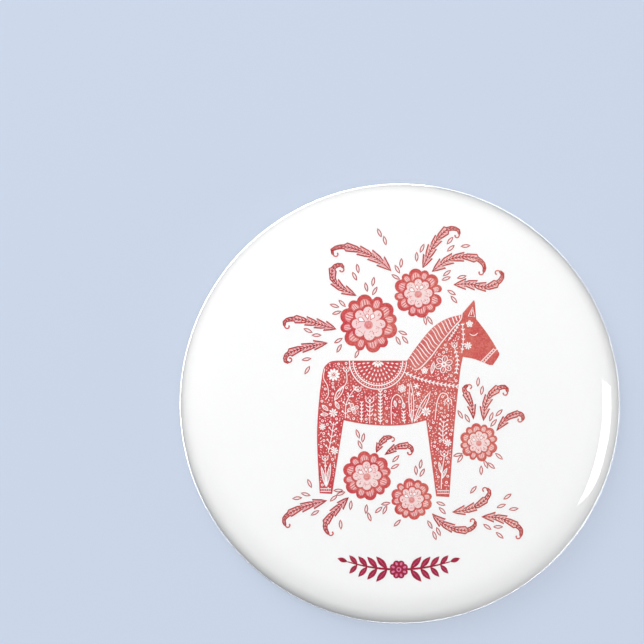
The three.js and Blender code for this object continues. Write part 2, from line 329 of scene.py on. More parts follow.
def through(points, per_span=6):
    """Points along a smooth curve through the given ones."""
    line = []
    last = len(points) - 1
    for i in range(last):
        a = points[max(i - 1, 0)]
        b = points[i]
        c = points[i + 1]
        d = points[min(i + 2, last)]
        for step in range(per_span):
            t = step / per_span
            line.append(tuple(between(a[k], b[k], c[k], d[k], t) for k in (0, 1)))
    line.append(tuple(points[-1]))
    return line


def between(a, b, c, d, t):
    """One coordinate of a Catmull-Rom curve from b to c."""
    start = (c - a) / 2
    end = (d - b) / 2
    cubic = 2 * b - 2 * c + start + end
    square = 3 * c - 3 * b - 2 * start - end
    return ((cubic * t + square) * t + start) * t + b


def length_of(line):
    """The length of a run of points."""
    return sum(math.dist(a, b) for a, b in zip(line, line[1:]))


def place_on(line, share):
    """The point and the unit direction at a share of a line's length."""
    left = share * length_of(line)
    for a, b in zip(line, line[1:]):
        span = math.dist(a, b)
        if left <= span or b is line[-1]:
            t = left / span
            point = (a[0] + (b[0] - a[0]) * t, a[1] + (b[1] - a[1]) * t)
            return point, ((b[0] - a[0]) / span, (b[1] - a[1]) / span)
        left -= span
    return line[-1], (1.0, 0.0)


def beside(line, share, offset):
    """A point at a share of a line's length, moved sideways to the left of its direction."""
    (x, z), (dx, dz) = place_on(line, share)
    return x - dz * offset, z + dx * offset


def polar(centre, degrees, distance):
    """A point at a distance from another: 0 degrees is to the right and 90 is up."""
    angle = math.radians(degrees)
    return centre[0] + distance * math.cos(angle), centre[1] + distance * math.sin(angle)


def round_outline(centre, radius, count=12):
    """Points on a circle."""
    return [polar(centre, 360 * i / count, radius) for i in range(count)]


def oval_outline(centre, half_long, half_wide, degrees, count=12):
    """Points on an ellipse whose long side points in a direction."""
    angle = math.radians(degrees)
    along = (math.cos(angle), math.sin(angle))
    outline = []
    for i in range(count):
        turn = 2 * math.pi * i / count
        u = half_long * math.cos(turn)
        v = half_wide * math.sin(turn)
        outline.append((centre[0] + u * along[0] - v * along[1], centre[1] + u * along[1] + v * along[0]))
    return outline


def lens_outline(foot, tip, width, count=5, blunt=0.0):
    """A pointed leaf from foot to tip; blunt moves its widest place towards the tip."""
    line = [foot, tip]
    shares = [i / count for i in range(1, count)]
    left = [beside(line, t, width / 2 * math.sin(math.pi * t ** (1 + blunt))) for t in shares]
    right = [beside(line, t, -width / 2 * math.sin(math.pi * t ** (1 + blunt))) for t in shares]
    return [foot, *right, tip, *reversed(left)]


def scalloped_outline(centre, lobes, core=0.0, count=132):
    """The edge of round lobes, each given as (degrees, distance, radius), about a round core."""
    outline = []
    for i in range(count):
        degrees = 360 * i / count
        reach = core
        for turn, distance, radius in lobes:
            lean = math.radians(degrees - turn)
            miss = distance * math.sin(lean)
            if abs(miss) < radius and math.cos(lean) > 0:
                reach = max(reach, distance * math.cos(lean) + math.sqrt(radius**2 - miss**2))
        outline.append(polar(centre, degrees, reach))
    return outline


def signed_area(outline):
    """An outline's area, below zero where it runs clockwise."""
    pairs = zip(outline, [*outline[1:], outline[0]])
    return sum(a[0] * b[1] - b[0] * a[1] for a, b in pairs) / 2


def counter_clockwise(outline):
    return list(outline) if signed_area(outline) > 0 else list(reversed(outline))


def is_inside(outline, point):
    """Whether an outline holds a point."""
    x, z = point
    inside = False
    for (ax, az), (bx, bz) in zip(outline, [*outline[1:], outline[0]]):
        if (az > z) != (bz > z) and x < ax + (bx - ax) * (z - az) / (bz - az):
            inside = not inside
    return inside


def gap_to(outline, point):
    """The distance from a point to an outline."""
    best = math.inf
    for (ax, az), (bx, bz) in zip(outline, [*outline[1:], outline[0]]):
        span = (bx - ax) ** 2 + (bz - az) ** 2
        if span == 0:
            continue
        t = ((point[0] - ax) * (bx - ax) + (point[1] - az) * (bz - az)) / span
        t = min(max(t, 0), 1)
        best = min(best, math.dist(point, (ax + (bx - ax) * t, az + (bz - az) * t)))
    return best


# ---- The domed front ----


def front_arcs():
    """The front's section as arcs: centre, radius on the tinplate, first and last angle, steps."""
    sizes = bpy.context.scene.magnet_sizes
    plate_radius = sizes.button_radius / MM - FILM_LAYER[1]
    shoulder = (plate_radius - SHOULDER_RADIUS, EDGE_Y)
    bend = moved(shoulder, BEND_ANGLE, SHOULDER_RADIUS - BEND_RADIUS)
    reach = bend[0] / math.sin(math.radians(CROWN_ANGLE))
    crown = (0.0, moved(bend, CROWN_ANGLE, -reach)[1])
    bead = (plate_radius - BEAD_RADIUS, EDGE_Y)
    curl = moved(bead, BEAD_ANGLE, BEAD_RADIUS - CURL_RADIUS)
    return (
        (crown, reach + BEND_RADIUS, 0, CROWN_ANGLE, 12),
        (bend, BEND_RADIUS, CROWN_ANGLE, BEND_ANGLE, 6),
        (shoulder, SHOULDER_RADIUS, BEND_ANGLE, 90, 12),
        (bead, BEAD_RADIUS, 90, BEAD_ANGLE, 5),
        (curl, CURL_RADIUS, BEAD_ANGLE, CURL_ANGLE, 7),
        (curl, CURL_RADIUS, CURL_ANGLE, TUCK_ANGLE, 2),
    )


def front_line(lift, tucked=True):
    """The front's section at a distance out from the tinplate, from the axis to the end of the curl."""
    arcs = front_arcs() if tucked else front_arcs()[:-1]
    return joined(*(section_arc(c, r + lift, start, end, steps) for c, r, start, end, steps in arcs))


def front_y(x, z, lift):
    """How deep the front lies under a point of the print, at a distance out from the tinplate."""
    crown, bend = front_arcs()[:2]
    reach = math.hypot(x, z)
    radius = crown[1] + lift
    if reach < radius * math.sin(math.radians(CROWN_ANGLE)):
        return crown[0][1] - math.sqrt(radius**2 - reach**2)
    return bend[0][1] - math.sqrt((bend[1] + lift) ** 2 - (reach - bend[0][0]) ** 2)


# ---- Modelling helpers ----


def work_on(piece):
    """Selects one piece, and nothing else, as the one that operators act on."""
    bpy.ops.object.select_all(action="DESELECT")
    piece.select_set(True)
    bpy.context.view_layer.objects.active = piece


def new_piece(name, points, edges, faces):
    """An object whose mesh is made from points in metres."""
    mesh = bpy.data.meshes.new(name)
    mesh.from_pydata(points, edges, faces)
    mesh.update()
    piece = bpy.data.objects.new(name, mesh)
    bpy.context.scene.collection.objects.link(piece)
    return piece


def start_primitive(add, name, **sizes):
    """Adds a primitive with nothing else selected, and names it."""
    bpy.ops.object.select_all(action="DESELECT")
    add(**sizes)
    piece = bpy.context.object
    piece.name = name
    piece.data.name = name
    return piece


def smooth(piece, degrees):
    """Shades a piece smooth, except at edges sharper than an angle."""
    work_on(piece)
    bpy.ops.object.shade_smooth_by_angle(angle=math.radians(degrees))


def turn(name, line, steps, smooth_angle=35):
    """Turns a section in millimetres about the magnet's axis into a closed piece."""
    points = [(radius * MM, y * MM, 0.0) for radius, y in line]
    edges = [(i, i + 1) for i in range(len(points) - 1)]
    piece = new_piece(name, points, edges, [])
    work_on(piece)
    lathe = piece.modifiers.new("Lathe", "SCREW")
    lathe.axis = "Y"
    lathe.angle = 2 * math.pi
    lathe.steps = steps
    lathe.render_steps = steps
    bpy.ops.object.modifier_apply(modifier=lathe.name)
    bpy.ops.object.mode_set(mode="EDIT")
    bpy.ops.mesh.select_all(action="SELECT")
    bpy.ops.mesh.remove_doubles(threshold=1e-6)
    bpy.ops.mesh.normals_make_consistent(inside=False)
    bpy.ops.object.mode_set(mode="OBJECT")
    smooth(piece, smooth_angle)
    return piece


def finish_piece(piece, material, slot, *nodes):
    """Gives a piece its material and its place in the part."""
    piece.data.materials.clear()
    piece.data.materials.append(material)
    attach(piece, "root")
    if nodes:
        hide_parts(*nodes)
    return piece


# ---- Flat shapes for the print ----


class Drawing:
    """Flat ink shapes in millimetres, each with its tone and its layer."""

    def __init__(self):
        self.points = []
        self.faces = []
        self.tones = []
        self.lifts = []
        self.taken = []
        self.shapes = 0

    def add(self, points, faces, tone, layer):
        start = len(self.points)
        lift = INK_LAYERS[layer] + LAYER_STEP * (self.shapes % LAYER_STEPS)
        self.shapes += 1
        self.points += points
        self.tones += [tone] * len(points)
        self.lifts += [lift] * len(points)
        self.faces += [[start + i for i in face] for face in faces]

    def patch(self, outline, tone, layer=0):
        """A filled outline."""
        xs = [x for x, _ in outline]
        zs = [z for _, z in outline]
        size = max(max(xs) - min(xs), max(zs) - min(zs))
        self.taken.append((((min(xs) + max(xs)) / 2, (min(zs) + max(zs)) / 2), size / 2))
        if size > GRID:
            self.field([outline], lambda held: held == {0}, tone, layer)
            return
        ring = counter_clockwise(outline)
        corners = [Vector(point) for point in ring]
        found = delaunay_2d_cdt(corners, [], [list(range(len(ring)))], 1, 1e-6)
        self.add([tuple(p) for p in found[0]], found[2], tone, layer)

    def field(self, outlines, keep, tone, layer=0):
        """A large area cut on a grid: keep says which faces stay, from the outlines that hold them."""
        corners = []
        rings = []
        for outline in outlines:
            ring = counter_clockwise(outline)
            rings.append(list(range(len(corners), len(corners) + len(ring))))
            corners += [Vector(point) for point in ring]
        lines = []
        low = [min(c[k] for c in corners) for k in (0, 1)]
        high = [max(c[k] for c in corners) for k in (0, 1)]
        for k in (0, 1):
            count = int((high[k] - low[k]) / GRID + 0.6)
            for i in range(count):
                start = Vector(low)
                end = Vector(high)
                start[k] = end[k] = low[k] + (i + 0.41) * GRID
                lines.append((len(corners), len(corners) + 1))
                corners += [start, end]
        points, _, faces, _, _, held = delaunay_2d_cdt(corners, lines, rings, 0, 1e-5)
        kept = [face for face, owners in zip(faces, held) if keep(set(owners))]
        self.add([tuple(p) for p in points], kept, tone, layer)

    def stroke(self, line, width, tone=BARE, layer=1, closed=False, taper=0.0):
        """A line of even width, or one that narrows to taper times its width at both ends."""
        count = len(line)
        left = []
        right = []
        for i, (x, z) in enumerate(line):
            before = line[i - 1] if i or closed else line[i]
            after = line[(i + 1) % count] if i < count - 1 or closed else line[i]
            dx = after[0] - before[0]
            dz = after[1] - before[1]
            size = math.hypot(dx, dz) or 1.0
            half = width / 2
            if taper:
                half *= taper + (1 - taper) * math.sin(math.pi * (i + 0.5) / count)
            left.append((x - dz / size * half, z + dx / size * half))
            right.append((x + dz / size * half, z - dx / size * half))
            self.taken.append(((x, z), width / 2))
        spans = range(count if closed else count - 1)
        faces = [[count + i, count + (i + 1) % count, (i + 1) % count, i] for i in spans]
        self.add(left + right, faces, tone, layer)

    def dot(self, centre, radius, tone=BARE, layer=1, count=8):
        self.patch(round_outline(centre, radius, count), tone, layer)

    def build(self, name):
        """Makes the shapes one piece that lies on the domed paper."""
        used = sorted({i for face in self.faces for i in face})
        place = {old: new for new, old in enumerate(used)}
        faces = [[place[i] for i in face] for face in self.faces]
        points = []
        for i in used:
            x, z = self.points[i]
            points.append((x * MM, front_y(x, z, self.lifts[i]) * MM, z * MM))
        piece = new_piece(name, points, [], faces)
        cover = piece.data.attributes.new("ink_cover", "FLOAT", "POINT")
        cover.data.foreach_set("value", [self.tones[i] for i in used])
        work_on(piece)
        body = piece.modifiers.new("Ink thickness", "SOLIDIFY")
        body.thickness = INK_THICKNESS * MM
        body.offset = -1
        bpy.ops.object.modifier_apply(modifier=body.name)
        smooth(piece, 30)
        return piece


# ---- Motifs ----


def hook_at_tip(line):
    """The small hook at the tip of a leaf's midrib, round the way that the midrib already bends."""
    _, before = place_on(line, 0.75)
    point, heading = place_on(line, 1.0)
    way = 1 if before[0] * heading[1] - before[1] * heading[0] > 0 else -1
    degrees = math.degrees(math.atan2(heading[1], heading[0]))
    hook = []
    for i in range(1, 9):
        degrees += way * 23
        point = polar(point, degrees, 0.15 - 0.009 * i)
        hook.append(point)
    return hook


def leaf_outline(line, half_width, chance):
    """A leaf's edge: teeth that point to its tip, then a smooth narrow end."""
    teeth = max(2, round(length_of(line) / TOOTH_LENGTH))

    def side(sign, shift):
        edge = []
        for tooth in range(teeth):
            start = TOOTHED_SHARE * (tooth + shift) / teeth
            end = TOOTHED_SHARE * (tooth + 1 + shift) / teeth
            if tooth:
                edge.append(beside(line, start, sign * 0.5 * half_width(start)))
            full = 0.85 if tooth else 0.5
            edge.append(beside(line, 0.6 * start + 0.4 * end, sign * full * half_width(start)))
            point = 1.25 * half_width(end) + chance.uniform(0.0, 0.1)
            edge.append(beside(line, end + 0.025, sign * point))
        return edge + [beside(line, share, sign * width) for share, width in LEAF_END]

    return [line[0], *side(-1, 0.0), line[-1], *reversed(side(1, 0.05))]


def draw_leaf(drawing, midrib, chance):
    """A toothed leaf, shaded with slanting lines, that ends in a small hook."""
    line = through(midrib, 10)
    size = length_of(line)
    widest = 0.035 * size + 0.27

    def half_width(share):
        return widest * (1 - 0.5 * share)

    outline = leaf_outline(line, half_width, chance)
    drawing.patch(outline, PALE, 0)
    strokes = round(4 * size)
    for i in range(strokes):
        share = 0.05 + 0.86 * i / strokes
        reach = 0.5 * half_width(share) * min(1.0, 4 * share, 3 * (1 - share))
        for sign in (-1, 1):
            tip = beside(line, share + 0.05, sign * reach)
            drawing.stroke([beside(line, share, 0), tip], FINE, BLUSH if i % 2 else DARK, 1)
    drawing.stroke(outline, LEAF_EDGE, DARK, 2, closed=True)
    drawing.stroke([beside(line, i / 24, 0) for i in range(24)], RIB, DARK, 3, taper=0.5)
    hook = hook_at_tip(line)
    drawing.stroke([line[-1], *hook], LEAF_EDGE, RED, 4)
    drawing.dot(hook[-1], 0.11, RED, 5)


def draw_flower(drawing, centre, radius, chance):
    """A double flower: a scalloped edge, light petals, a pale rosette, a round heart and a crown."""
    lobes = []
    for i in range(PETALS):
        size = (0.175 if i % 2 else 0.27) + chance.uniform(-0.015, 0.015)
        degrees = 360 * (i + chance.uniform(-0.1, 0.1)) / PETALS + 100
        lobes.append((degrees, (1.0 - size - 0.03 * (i % 2)) * radius, size * radius))
    drawing.patch(scalloped_outline(centre, lobes), RED, 0)
    for degrees, distance, size in lobes:
        draw_petal(drawing, polar(centre, degrees, distance - 0.05 * radius), size, degrees)
    rosette = []
    for i in range(ROSETTE_PETALS):
        size = (0.14 + chance.uniform(0.0, 0.04)) * radius
        rosette.append((360 * i / ROSETTE_PETALS + chance.uniform(-4, 4), 0.57 * radius - size, size))
    collar = [(degrees, distance, size + 0.08 * radius) for degrees, distance, size in rosette]
    core = 0.4 * radius
    drawing.patch(scalloped_outline(centre, collar, core), RED, 3)
    drawing.patch(scalloped_outline(centre, rosette, core), BLUSH, 4)
    draw_rosette_marks(drawing, centre, radius, rosette, chance)
    draw_heart(drawing, centre, radius)
    draw_crown(drawing, centre, radius)


def draw_petal(drawing, centre, size, degrees):
    """A light petal with fine lines that run in towards the flower's heart."""
    spot = polar(centre, degrees + 180, 0.22 * size)
    drawing.patch(oval_outline(spot, 0.86 * size, 0.68 * size, degrees), PEACH, 1)
    for lean in (-40, -20, 0, 20, 40):
        tip = polar(centre, degrees + lean, 0.5 * size)
        foot = polar(centre, degrees + 180 - 0.5 * lean, 0.9 * size)
        drawing.stroke([foot, tip], FINE, ROSE if lean % 40 else BLUSH, 2)


def draw_rosette_marks(drawing, centre, radius, rosette, chance):
    """Fine dots on the rosette's petals and a short line between each two."""
    for degrees, distance, size in rosette:
        gap = [polar(centre, degrees + 22, reach * radius) for reach in (0.27, 0.43)]
        drawing.stroke(gap, FINE, PEACH, 5)
        petal = polar(centre, degrees, distance)
        for _ in range(6):
            spot = polar(petal, chance.uniform(0, 360), chance.uniform(0, 0.8) * size)
            drawing.dot(spot, 0.065, ROSE, 5, 5)


def draw_heart(drawing, centre, radius):
    """The round heart: a thick crescent below, a thin one above and a soft middle."""
    heart = polar(centre, -80, 0.08 * radius)
    drawing.dot(heart, 0.21 * radius, RED, 4, 20)
    drawing.dot(polar(heart, 115, 0.035 * radius), 0.15 * radius, PEACH, 5, 16)
    curl = [polar(polar(heart, 115, 0.03 * radius), 200 + 20 * i, 0.08 * radius) for i in range(10)]
    drawing.stroke(curl, 0.03 * radius, ROSE, 5, taper=0.3)


def draw_crown(drawing, centre, radius):
    """Three outlined bare drops above the heart."""
    for degrees, reach, width in ((152, 0.4, 0.16), (100, 0.34, 0.12), (62, 0.37, 0.16)):
        foot = polar(centre, degrees, 0.13 * radius)
        tip = polar(centre, degrees, reach * radius)
        drop = lens_outline(foot, tip, width * radius, 6, 0.6)
        drawing.patch(drop, BARE, 5)
        drawing.stroke(drop, 0.025 * radius, ROSE, 5, closed=True)


def draw_seeds(drawing):
    """Small outlined seeds."""
    for x, z, degrees in SEEDS:
        foot = polar((x, z), degrees + 180, SEED_HALF_LENGTH)
        tip = polar((x, z), degrees, SEED_HALF_LENGTH)
        outline = lens_outline(foot, tip, SEED_WIDTH, 6)
        drawing.patch(outline, 0.5 * BLUSH, 0)
        drawing.stroke(outline, SEED_EDGE, DARK, 1, closed=True)


def draw_daisy(drawing, centre, radius, petals=8):
    """A bare flower of filled petals round a ring."""
    for i in range(petals):
        degrees = 360 * i / petals + 11
        spot = polar(centre, degrees, 0.68 * radius)
        drawing.patch(oval_outline(spot, 0.34 * radius, 0.2 * radius, degrees, 8), BARE, 1)
    drawing.stroke(round_outline(centre, 0.3 * radius, 10), FINE, BARE, 1, closed=True)
    drawing.dot(centre, 0.08, BARE, 2, 6)


def draw_blossom(drawing, centre, radius, petals=6):
    """A flower of outlined petals with a vein in each."""
    for i in range(petals):
        degrees = 360 * i / petals + 20
        spot = polar(centre, degrees, 0.62 * radius)
        petal = oval_outline(spot, 0.38 * radius, 0.29 * radius, degrees, 12)
        drawing.stroke(petal, STEM, BARE, 1, closed=True)
        vein = [polar(centre, degrees, reach * radius) for reach in (0.4, 0.8)]
        drawing.stroke(vein, VEIN, BARE, 2)
    drawing.dot(centre, 0.24 * radius, BARE, 2, 10)
    drawing.dot(centre, 0.12 * radius, RED, 3, 8)


def draw_blade(drawing, foot, tip, width):
    """An outlined leaf with a vein."""
    drawing.stroke(lens_outline(foot, tip, width, 8), PEN, BARE, 1, closed=True)
    vein = [foot, place_on([foot, tip], 0.75)[0]]
    drawing.stroke(vein, VEIN, BARE, 2)


def draw_fern(drawing, line, leaf, pairs):
    """A stem with pairs of small leaves."""
    stem = through(line, 4)
    drawing.stroke(stem, STEM, BARE, 1)
    for i in range(pairs):
        point, (dx, dz) = place_on(stem, (i + 0.6) / pairs)
        heading = math.degrees(math.atan2(dz, dx))
        for side in (-1, 1):
            tip = polar(point, heading + side * 42, leaf)
            drawing.patch(lens_outline(point, tip, 0.36 * leaf, 4), BARE, 2)


def draw_berries(drawing, line, twig, pairs):
    """A stem with twigs that end in berries."""
    stem = through(line, 4)
    drawing.stroke(stem, STEM, BARE, 1)
    for i in range(pairs):
        point, (dx, dz) = place_on(stem, (i + 0.5) / pairs)
        heading = math.degrees(math.atan2(dz, dx))
        for side in (-1, 1):
            tip = polar(point, heading + side * 48, twig)
            drawing.stroke([point, tip], TWIG, BARE, 1)
            drawing.dot(tip, 0.13, BARE, 2)


def draw_tulip(drawing, foot, height, width):
    """A cup with three points on a short foot."""
    x, z = foot
    side = ((0.42, 0.3), (0.5, 1.0), (0.22, 0.62))
    right = [(x + across * width, z + up * height) for across, up in side]
    left = [(x - across * width, z + up * height) for across, up in reversed(side)]
    cup = [(x, z), *right, (x, z + height), *left]
    drawing.stroke(cup, RIB, BARE, 1, closed=True)
    drawing.patch(oval_outline((x, z + 0.38 * height), 0.2 * height, 0.14 * width, 90, 8), BARE, 2)


# ---- The horse ----


def horse_outline():
    """The whole horse, clockwise from the croup."""
    return joined(
        through(((-10.1, 3.7), (-9.8, 4.8), (-9.0, 5.5), (-8.0, 5.63))),
        through(CREST),
        ((9.35, 13.3), (9.5, 13.42), (9.6, 13.1)),
        through(((9.75, 11.0), (11.2, 9.1), (12.5, 7.0), (12.7, 6.3), (11.9, 5.05))),
        through(((11.5, 5.05), (9.6, 5.8), (8.05, 6.1))),
        through(((7.8, 5.0), (7.5, 2.6), (6.9, -3.4), (6.3, -11.95))),
        ((4.6, -11.85),),
        through(((3.3, -2.05), (1.0, -2.6), (-2.0, -2.75), (-5.0, -2.5), (-7.3, -2.05))),
        ((-8.8, -11.55),),
        through(((-10.4, -11.45), (-10.75, -4.0), (-10.4, 1.4))),
    )


def mane_outline(shift):
    """The mane and the space above it, down to a line that is moved towards the mane."""
    step = shift * math.sqrt(0.5)
    return [*((x - step, z + step) for x, z in through(MANE_LINE)), (0.0, 13.0)]


def saddle_outline(radius):
    """The whole round of the saddle cloth, of which the horse's side holds the lower half."""
    return round_outline(SADDLE_CENTRE, radius, 64)


def draw_mane(drawing, chance):
    """The mane's field and its wavy bare lines."""
    drawing.field([horse_outline(), mane_outline(BARE_LINE / 2)], lambda held: held == {0, 1}, WORN)
    crest = through(CREST)
    foot_line = [(x - 0.1, z + 0.1) for x, z in through(MANE_LINE[1:6])]
    stripes = 18
    for i in range(stripes):
        share = (i + 0.6) / stripes
        top = place_on(crest, share + chance.uniform(-0.012, 0.012))[0]
        foot = place_on(foot_line, min(share * 1.02, 0.99))[0]
        wave = chance.uniform(0.02, 0.09)
        line = []
        for step in range(9):
            t = step / 8
            bow = wave * math.sin(2 * math.pi * t) * math.dist(top, foot) / 2
            line.append(beside([top, foot], 0.03 + 0.95 * t, bow))
        drawing.stroke(line, chance.uniform(0.1, 0.14), BARE, 1, taper=0.5)


def draw_saddle(drawing):
    """The saddle cloth: a beaded edge, rings of drops and half a rosette."""
    drawing.field([horse_outline(), saddle_outline(SADDLE_RADIUS)], lambda held: held == {0, 1}, RED)

    def ring(count, reach, first=-176.0, last=-4.0):
        return [(first + (last - first) * (i + 0.5) / count, reach) for i in range(count)]

    arc = [polar(SADDLE_CENTRE, -179 + 178 * i / 48, 3.2) for i in range(49)]
    drawing.stroke(arc, SADDLE_EDGE, BARE, 1)
    for degrees, reach in ring(30, 3.42):
        drawing.dot(polar(SADDLE_CENTRE, degrees, reach), 0.075, BARE, 1, 6)
    for degrees, reach in ring(26, 2.98):
        drawing.dot(polar(SADDLE_CENTRE, degrees, reach), 0.095, BARE, 1, 6)
    for count, reach, size in ((15, 2.45, 0.5), (12, 1.85, 0.46), (9, 1.3, 0.4)):
        for degrees, start in ring(count, reach):
            foot = polar(SADDLE_CENTRE, degrees, start - size / 2)
            tip = polar(SADDLE_CENTRE, degrees, start + size / 2)
            drawing.patch(lens_outline(foot, tip, 0.19, 5, 0.5), BARE, 1)
    for degrees, reach in ring(7, 0.62, -186, 6):
        spot = polar(SADDLE_CENTRE, degrees, reach)
        if spot[1] < SADDLE_CENTRE[1] - 0.1:
            drawing.patch(oval_outline(spot, 0.3, 0.13, degrees, 8), BARE, 1)
    half = [polar(SADDLE_CENTRE, -170 + 160 * i / 10, 0.24) for i in range(11)]
    drawing.stroke(half, FINE, BARE, 2)


def draw_head(drawing):
    """The closed eye, the ear, the bridle and the flowers on the cheek and neck."""
    shares = [i / 8 for i in range(9)]
    eye = [(8.9 + 1.1 * t, 9.1 - 0.3 * math.sin(math.pi * t) + 0.12 * t) for t in shares]
    drawing.stroke(eye, PEN, BARE, 1, taper=0.4)
    ear = [(8.75, 11.35), (9.55, 11.25), (9.3, 12.55)]
    drawing.stroke(ear, PEN, BARE, 1, closed=True)
    drawing.stroke([(9.12, 11.5), (9.26, 12.2)], STEM, BARE, 1)
    for shift in (0.0, 0.34):
        band = [(12.42 - 0.1 * shift - shift, 7.15 + 0.1 * shift), (10.75 - shift, 5.35 + 0.55 * shift)]
        drawing.stroke(band, STEM, BARE, 1)
    for i in range(7):
        share = (i + 0.5) / 7
        spot = place_on([(12.25, 7.15), (10.58, 5.45)], share)[0]
        drawing.dot(spot, 0.07, BARE, 1, 6)
    draw_blossom(drawing, (8.9, 10.35), 0.42, 5)
    draw_daisy(drawing, (8.7, 7.55), 0.5)
    draw_tulip(drawing, (6.95, 7.25), 0.8, 0.7)
    draw_fern(drawing, ((7.9, 6.6), (8.1, 8.4), (8.0, 10.4)), 0.36, 6)
    draw_fern(drawing, ((7.0, 7.2), (7.35, 5.6), (7.15, 4.0)), 0.42, 6)
    draw_blossom(drawing, (5.6, 5.15), 1.12, 6)
    draw_blossom(drawing, (3.1, 4.35), 0.42, 5)
    draw_blade(drawing, (4.0, 3.9), (4.3, 5.5), 0.4)
    draw_fern(drawing, ((6.15, 8.2), (6.9, 9.3), (7.55, 10.3)), 0.3, 6)


def draw_barrel(drawing):
    """The flowers and stems on the horse's side."""
    draw_fern(drawing, ((0.45, 4.15), (2.0, 3.45), (4.4, 2.75), (7.35, 2.3)), 0.44, 14)
    draw_daisy(drawing, (-8.6, 3.8), 0.82, 10)
    draw_tulip(drawing, (-6.95, 4.1), 0.8, 0.75)
    drawing.stroke(through(((-6.95, 4.1), (-6.9, 3.0), (-7.4, 2.2), (-8.3, 1.5))), STEM)
    drawing.stroke(through(((-9.75, 4.6), (-9.9, 3.4), (-9.4, 2.4), (-9.3, 1.2), (-9.7, 0.6))), STEM)
    draw_blade(drawing, (-8.5, 0.5), (-7.3, 2.4), 0.62)
    small = (((-8.4, 0.4), (-7.9, -0.6)), ((-10.1, -0.1), (-9.3, -0.8)), ((-10.3, -1.3), (-9.3, -1.3)))
    for foot, tip in small:
        draw_blade(drawing, foot, tip, 0.4)
    draw_daisy(drawing, (-8.65, -1.1), 0.58)
    draw_berries(drawing, ((-7.1, -1.8), (-7.0, 0.0), (-6.4, 1.3), (-5.6, 2.3)), 0.5, 4)
    draw_tulip(drawing, (-5.45, 1.6), 0.75, 0.8)
    draw_blossom(drawing, (-6.1, -0.55), 0.72, 4)
    draw_fern(drawing, ((-5.05, -2.3), (-5.0, -1.0), (-5.0, 0.35)), 0.36, 6)
    draw_tulip(drawing, (-3.95, 0.1), 1.0, 1.1)
    for i in range(3):
        width = 0.5 - 0.08 * i
        z = -0.3 - 0.55 * i
        cup = [(-3.95 + share * width, z + up) for share, up in ((-1, 0.28), (-0.6, 0), (0.6, 0), (1, 0.28))]
        drawing.stroke(through(cup, 3), CUP_EDGE)
    drawing.stroke([(-3.95, 0.1), (-3.95, -2.45)], STEM)
    draw_fern(drawing, ((-2.6, -2.55), (-2.6, -0.5), (-2.6, 1.75)), 0.46, 10)
    arch = through(((-1.15, -2.55), (-1.2, -0.6), (-1.05, 0.7), (-0.5, 1.25), (0.1, 0.85), (0.35, 0.2)))
    drawing.stroke(arch, PEN)
    draw_blade(drawing, (0.35, 0.25), (0.45, -0.5), 0.34)
    draw_blade(drawing, (-0.75, 0.5), (-0.6, -0.35), 0.3)
    draw_blossom(drawing, (0.2, 2.05), 0.5, 6)
    draw_fern(drawing, ((0.55, -2.45), (0.4, -1.7), (0.4, -0.9)), 0.42, 4)
    draw_blade(drawing, (1.5, -2.4), (1.3, 2.9), 0.62)
    draw_blade(drawing, (1.75, -2.3), (3.9, 1.7), 0.66)
    for centre, radius, petals in (((2.05, 2.35), 0.42, 6), ((2.3, 1.35), 0.36, 6), ((3.3, -0.95), 0.62, 8)):
        draw_daisy(drawing, centre, radius, petals)
    bow = through(((4.45, -2.0), (4.7, 0.2), (5.2, 1.35), (5.9, 1.35), (6.15, 0.8)))
    drawing.stroke(bow, PEN)
    draw_tulip(drawing, (6.15, 0.85), -1.0, 0.95)
    drawing.stroke([(6.15, -0.1), (6.15, -0.6)], FINE)


def draw_legs(drawing):
    """Berries, tulips and bands down the two legs."""
    draw_berries(drawing, ((5.55, -5.0), (5.45, -3.6), (5.6, -2.1)), 0.62, 5)
    draw_daisy(drawing, (6.1, -4.95), 0.5)
    drawing.stroke(through(((5.25, -10.9), (5.35, -8.8), (5.65, -6.7))), PEN)
    draw_tulip(drawing, (5.65, -6.75), 0.85, 1.0)
    draw_blade(drawing, (5.3, -9.6), (6.0, -8.2), 0.34)
    draw_blade(drawing, (5.3, -8.9), (4.95, -7.4), 0.3)
    draw_daisy(drawing, (-10.05, -2.9), 0.45)
    draw_berries(drawing, ((-9.3, -6.2), (-8.9, -4.3), (-8.6, -2.3)), 0.6, 5)
    draw_daisy(drawing, (-8.5, -6.0), 0.5)
    draw_blade(drawing, (-9.5, -10.6), (-9.0, -7.6), 0.36)
    draw_blade(drawing, (-9.6, -10.6), (-10.2, -8.0), 0.32)
    draw_tulip(drawing, (-9.7, -7.3), 0.75, 0.8)
    drawing.stroke([(-9.7, -7.3), (-9.55, -10.6)], STEM)
    for left, right, z in ((4.72, 6.28, -11.1), (-10.3, -8.95, -10.85)):
        drawing.stroke([(left, z), (right, z)], FINE)
        drawing.stroke([(left, z - 0.38), (right, z - 0.38)], FINE)
        for i in range(6):
            drawing.dot((left + (right - left) * (i + 0.5) / 6, z - 0.19), 0.065, BARE, 1, 6)


